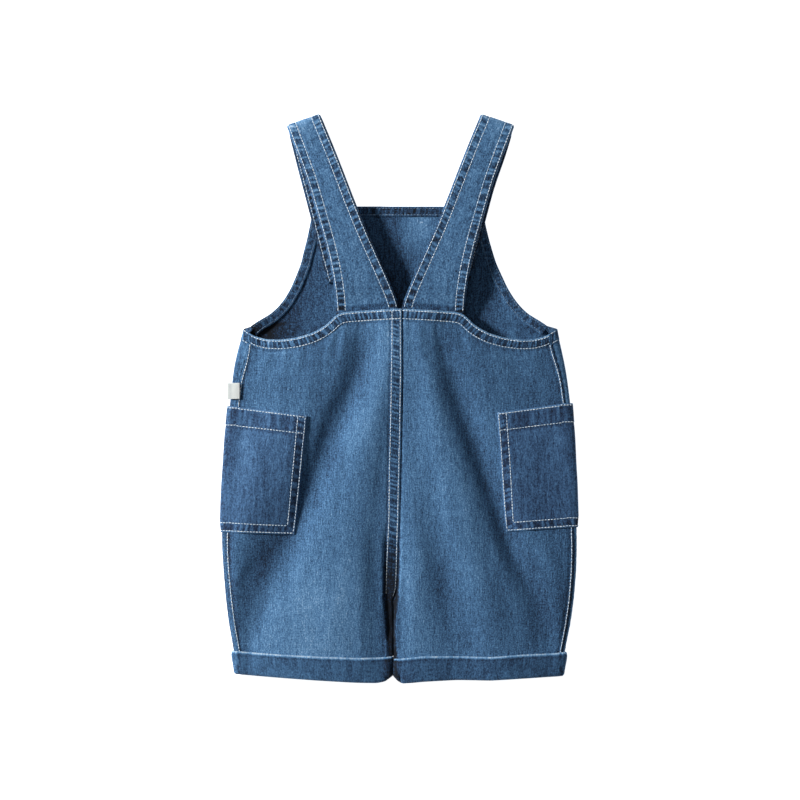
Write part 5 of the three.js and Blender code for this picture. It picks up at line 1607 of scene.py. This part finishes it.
# ------------------------------------------------------------------ cuffs
for side_name, s in (("left", -1), ("right", 1)):
    tab = CUFF_EDGE[s]
    seed = 51 if s < 0 else 55
    order = np.argsort(tab[:, 0])
    gx = np.arange(-138, 138, 0.5)
    ytop_g = smooth1(np.interp(gx, tab[order, 0], tab[order, 1]), 2.4 / 0.5)
    ybot_g = smooth1(np.interp(gx, tab[order, 0], tab[order, 2]), 1.6 / 0.5)
    ts = fine(0, 1, 1 / 24)

    def ring(t):
        def ya(x):
            return lerp(np.interp(x, gx, ytop_g), np.interp(x, gx, ybot_g), t)
        yo = float(ya(s * 134.0))
        xf = float(fold_x(yo, s))
        xi = float(_inner[s](-212.0)) + (1.2 if s < 0 else -0.85)
        ang = np.linspace(0, 90, 9) * D2R
        pts = []
        x = xf - s * FOLD_UP * (1 - np.cos(ang))
        y = ya(x)
        pts.append(np.stack([x, y, upper(x, y, s)], 1))
        x = lerp(xf - s * FOLD_UP, xi + s * INSEAM, fine(0, 1, 1 / 104)[1:-1])
        y = ya(x)
        pts.append(np.stack([x, y, upper(x, y, s)], 1))
        an = np.array([90, 64, 42, 22, 6]) * D2R
        x = xi + s * INSEAM * (1 - np.cos(an))
        y = ya(x)
        pts.append(np.stack([x, y, lerp(relief(x, y), inner_mid(y, s, 1), 1 - np.sin(an))], 1))
        an = an[::-1]
        x = xi + s * INSEAM * (1 - np.cos(an))
        y = ya(x)
        pts.append(np.stack([x, y, lerp(base(x, y), inner_mid(y, s, -1), 1 - np.sin(an))], 1))
        x = lerp(xi + s * INSEAM, xf - s * FOLD_LOW, fine(0, 1, 1 / 60)[1:-1])
        y = ya(x)
        pts.append(np.stack([x, y, base(x, y)], 1))
        ang = np.linspace(90, 12, 7) * D2R
        x = xf - s * FOLD_LOW * (1 - np.cos(ang))
        y = ya(x)
        pts.append(np.stack([x, y, lerp(float(fold_mid(yo, s)), base(x, y), np.sin(ang))], 1))
        return np.concatenate(pts)
    P = np.array([ring(t) for t in ts])
    R, C = P.shape[:2]
    w = 18.0
    v = ts * w
    arc = np.concatenate([[0], np.cumsum(np.linalg.norm(np.diff(P[R // 2], axis=0), axis=1))])
    net = Net(P, v, arc, ring=True)
    net.face(net.N[R // 2, 40, 2] > 0)
    N0 = net.N.copy()
    A, V2 = np.meshgrid(arc, v)
    topside = (np.arange(C) < 9 + 103 + 5)[None, :] * np.ones((R, 1), bool)
    h = np.full((R, C), LIFT + CUFF)
    # the turn-up: rolled lower edge, pressed flat at the top edge, which has lifted in places
    h -= 0.5 * ease((2.2 - V2) / 2.2)
    h += 0.25 * gauss(V2 - 5, 4)
    h -= 0.7 * ease((V2 - w + 1.6) / 1.6) ** 2
    Rr = rope(A + 0.2 * V2, seed, 9.5, 2.8)
    h += 0.10 * Rr * ease(V2 / 3) + 0.16 * noise2(A, V2, (14, 9), 9) * ease(V2 / 3) + 0.05 * noise2(A, V2, (4, 5), 10)
    # the right cuff starts darker than the left: painted shade on the side away from the light
    tone = np.full((R, C), 0.46 if s < 0 else 0.39) + 0.04 * Rr + 0.05 * noise2(A, V2, (18, 9), 11)
    tone += 0.50 * gauss(V2 - 0.05, 0.55) + 0.06 * gauss(V2 - w, 1.0)
    tone -= 0.12 * gauss(V2 - 1.9, 0.7)
    # painted shade where it turns in between the legs
    xi = float(_inner[s](-212.0))
    tone -= 0.30 * gauss(P[..., 0] - xi, 4.0 if s < 0 else 1.6) * ease(V2 / 1.5)
    # side seam across the cuff
    sx = seam_x(np.full_like(A, -212.0), s)
    dsx = np.abs(P[..., 0] - sx)
    h -= 0.30 * gauss(dsx, 0.6) * topside
    tone -= 0.16 * gauss(dsx, 0.7) * topside
    tone += 0.10 * gauss(dsx - 1.8, 0.6) * topside
    net.P = P + N0 * h[..., None]
    net.P[..., 2] = np.maximum(net.P[..., 2], 0.03)
    Pn = net.P.reshape(-1, 3)
    uv = np.stack([A, V2 + P[..., 1] * 0], -1).reshape(-1, 2)
    obj = shell("cuff_" + side_name, Pn, net.quads(), 1.5, uv, tone.ravel(), N0.reshape(-1, 3), bulge=0.45)
    finish_piece(obj, CUFFS)
    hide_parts("cuff_" + side_name)
    net.normals()
    made["cuff_" + side_name] = (obj, net)

# ------------------------------------------------------------------ label: a plain folded loop
def build_label():
    x0, x1, y0, y1 = LABEL["x0"], LABEL["x1"], LABEL["y0"], LABEL["y1"]
    ys = fine(y0, y1, 0.5)
    rows = []
    for y in ys:
        x = fine(x0, x1, 0.5)
        zs = float(upper(np.array([seam_x(y, -1)]), np.array([y]), -1, False)[0])
        f = (x - x0) / (x1 - x0)
        z = zs + 0.45 + 0.75 * np.sin(f * math.pi * 0.62) + 0.10 * noise2(x, np.full_like(x, y), (5, 4), 4)
        rows.append(np.stack([x, np.full_like(x, y), z + LABEL["t"] * 0.8], 1))
    P = np.array(rows)
    net = Net(P, ys, fine(x0, x1, 0.5)).face()
    X = P[..., 0]
    # lighter along the folded right edge, darker near the left: painted highlight and painted shade
    tone = 0.45 + 0.25 * gauss(X - x1 + 0.4, 0.6) - 0.22 * gauss(X - x0 - 2.0, 1.2)
    obj = shell("label", P.reshape(-1, 3), net.quads(), 0.9, P.reshape(-1, 3)[:, :2].copy(), tone.ravel(),
                net.N.reshape(-1, 3))
    finish_piece(obj, LABEL_MAT)
    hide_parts("label")
    return obj, net


made["label"] = build_label()

# ------------------------------------------------------------------ buttons: dished discs with four holes
def build_button(name, s):
    bx, by = BUTTONS[s]
    prof = np.array([[0, 0.80], [3.6, 0.78], [5.0, 0.66], [5.9, 0.30], [6.6, 0.06], [7.4, 0.0], [8.2, 0.12], [8.75, 0.5],
                     [9.0, 1.0], [9.0, 1.5], [8.7, 1.95], [8.1, 2.25], [6.0, 2.3], [0, 2.3]])
    n = 64
    me = bpy.data.meshes.new(name)
    verts, faces = [], []
    for r, z in prof[1:-1]:
        for k in range(n):
            a = 2 * math.pi * k / n
            verts.append((r * math.cos(a), r * math.sin(a), z))
    m = len(prof) - 2
    for i in range(m - 1):
        for k in range(n):
            faces.append((i * n + k, (i + 1) * n + k, (i + 1) * n + (k + 1) % n, i * n + (k + 1) % n))
    verts += [(0, 0, prof[0, 1]), (0, 0, prof[-1, 1])]
    for k in range(n):
        faces.append((len(verts) - 2, k, (k + 1) % n))
        faces.append((len(verts) - 1, (m - 1) * n + (k + 1) % n, (m - 1) * n + k))
    me.from_pydata([((x + bx + SHIFT[0]) * 0.001, (y + by + SHIFT[1]) * 0.001, z * 0.001) for x, y, z in verts], [], faces)
    me.update()
    obj = bpy.data.objects.new("disc_" + name, me)
    bpy.context.scene.collection.objects.link(obj)
    cutters = []
    for hx, hy in ((1.7, 1.7), (-1.7, 1.7), (-1.7, -1.7), (1.7, -1.7)):
        cv, cf = [], []
        for z in (-1.0, 3.5):
            for k in range(20):
                a = 2 * math.pi * k / 20
                cv.append(((hx + bx + SHIFT[0] + 0.95 * math.cos(a)) * 0.001,
                           (hy + by + SHIFT[1] + 0.95 * math.sin(a)) * 0.001, z * 0.001))
        for k in range(20):
            cf.append((k, (k + 1) % 20, 20 + (k + 1) % 20, 20 + k))
        cf += [tuple(range(19, -1, -1)), tuple(range(20, 40))]
        cm = bpy.data.meshes.new("cut")
        cm.from_pydata(cv, [], cf)
        cm.update()
        co = bpy.data.objects.new("cut", cm)
        bpy.context.scene.collection.objects.link(co)
        cutters.append(co)
        b = obj.modifiers.new("hole", "BOOLEAN")
        b.operation, b.object, b.solver = "DIFFERENCE", co, "EXACT"
    bpy.context.view_layer.update()
    dg = bpy.context.evaluated_depsgraph_get()
    final = bpy.data.meshes.new_from_object(obj.evaluated_get(dg))
    obj.modifiers.clear()
    obj.data = final
    for c in cutters:
        bpy.data.objects.remove(c)
    final.name = name
    for p in final.polygons:
        p.use_smooth = True
    final.set_sharp_from_angle(angle=math.radians(40))
    finish_piece(obj, BUTTON_MAT)
    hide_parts(name)
    t = Thread()
    for ax, ay, bx2, by2 in ((1.7, 1.7, -1.7, -1.7), (-1.7, 1.7, 1.7, -1.7)):
        for off in (-0.35, 0.35):
            q = np.linspace(0, 1, 12)
            ln = math.hypot(bx2 - ax, by2 - ay)
            ux, uy = -(by2 - ay) / ln * off, (bx2 - ax) / ln * off
            x = bx + lerp(ax, bx2, q) + ux
            y = by + lerp(ay, by2, q) + uy
            z = 0.55 + 0.35 * (np.abs(q - 0.5) * 2) ** 4
            t.row(np.stack([x, y, z], 1), np.tile([0, 0, -1.0], (12, 1)), pitch=4.7, width=0.6, height=0.5, start=0.0, fill=1.0)
    return obj, t


for side_name, s in (("left", -1), ("right", 1)):
    obj, t = build_button("button_" + side_name, s)
    made["button_" + side_name] = (obj, None)
    threads["button_" + side_name] = t

# ------------------------------------------------------------------ threads, and the cut size of each piece, printed
for name, t in threads.items():
    t.make("stitches_" + name)

FLAT = {       # width and length that each piece was cut from, in metres
    "front": (0.330, 0.375), "back_left": (0.146, 0.300), "back_right": (0.146, 0.300),
    "front_hem_left": (0.0085, 0.105), "front_hem_right": (0.0085, 0.105), "front_hem_top": (0.0080, 0.140),
    "back_hem_left": (0.0085, 0.150), "back_hem_right": (0.0085, 0.150),
    "strap_left": (0.052, 0.310), "strap_right": (0.052, 0.310),
    "pocket_left": (0.125, 0.100), "pocket_right": (0.125, 0.100),
    "cuff_left": (0.270, 0.019), "cuff_right": (0.270, 0.019), "label": (0.0105, 0.0130)}
report = {}
for name, (obj, net) in made.items():
    if name not in FLAT:
        continue
    if name == "front":
        area = front_area
    else:
        area = area_of(net.P.reshape(-1, 3), net.quads())
    w, l = FLAT[name]
    w, l = max(w, 0.0101), max(l, 0.0101)
    area = min(area, w * l)
    if area < 0.3 * w * l:
        area = 0.3 * w * l
    report[name] = (w, l, round(area, 6))

tris = {o.name: sum(len(p.vertices) - 2 for p in o.data.polygons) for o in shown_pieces()}
print("triangles", sum(tris.values()), tris)
print("sheets", report)

# ------------------------------------------------------------------ floor, light, camera
def floor():
    me = bpy.data.meshes.new("floor")
    r = 3.0
    me.from_pydata([(-r, -r, -0.0003), (r, -r, -0.0003), (r, r, -0.0003), (-r, r, -0.0003)], [], [(0, 1, 2, 3)])
    me.update()
    obj = bpy.data.objects.new("floor", me)
    bpy.context.scene.collection.objects.link(obj)
    m = Nodes("floor")
    m.bsdf.inputs["Base Color"].default_value = (0.86, 0.86, 0.86, 1)
    m.bsdf.inputs["Roughness"].default_value = 0.9
    m.bsdf.inputs["Emission Color"].default_value = (1, 1, 1, 1)
    m.bsdf.inputs["Emission Strength"].default_value = 0.95
    obj.data.materials.append(m.mat)
    obj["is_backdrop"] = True
    return obj


floor()
scene = bpy.context.scene
scene.view_settings.view_transform = "Standard"
scene.view_settings.look = "None"
world = bpy.data.worlds.new("studio")
scene.world = world
world.use_nodes = True
world.node_tree.nodes["Background"].inputs[0].default_value = (0.86, 0.93, 1.0, 1)
world.node_tree.nodes["Background"].inputs[1].default_value = 0.10


def area_light(name, azimuth, elevation, distance, size, power, colour=(1, 1, 1)):
    """azimuth in the plan, 0 from +X and 90 from +Y; aimed at the middle of the garment."""
    a, e = azimuth * D2R, elevation * D2R
    pos = np.array([math.cos(a) * math.cos(e), math.sin(a) * math.cos(e), math.sin(e)]) * distance
    light = bpy.data.lights.new(name, "AREA")
    light.shape = "DISK"
    light.size = size
    light.energy = power
    light.color = colour
    obj = bpy.data.objects.new(name, light)
    obj.location = pos
    from mathutils import Vector
    obj.rotation_mode = "QUATERNION"
    obj.rotation_quaternion = Vector(-pos).to_track_quat("-Z", "Y")
    bpy.context.scene.collection.objects.link(obj)
    return obj


area_light("key", 162, 29, 2.6, 0.45, 101)
area_light("top", 120, 74, 2.4, 1.6, 6, (0.95, 0.98, 1.0))

cam = bpy.data.cameras.new("camera")
cam.sensor_width = 36
distance = 2.2
cam.lens = 36 * distance / 0.640
cam.clip_start, cam.clip_end = 0.1, 20
cam_obj = bpy.data.objects.new("camera", cam)
cam_obj.location = ((0.4 + SHIFT[0]) * 0.001, (-0.4 + SHIFT[1]) * 0.001, distance + 0.008)
cam_obj.rotation_euler = (0, 0, 0)
scene.collection.objects.link(cam_obj)
scene.camera = cam_obj
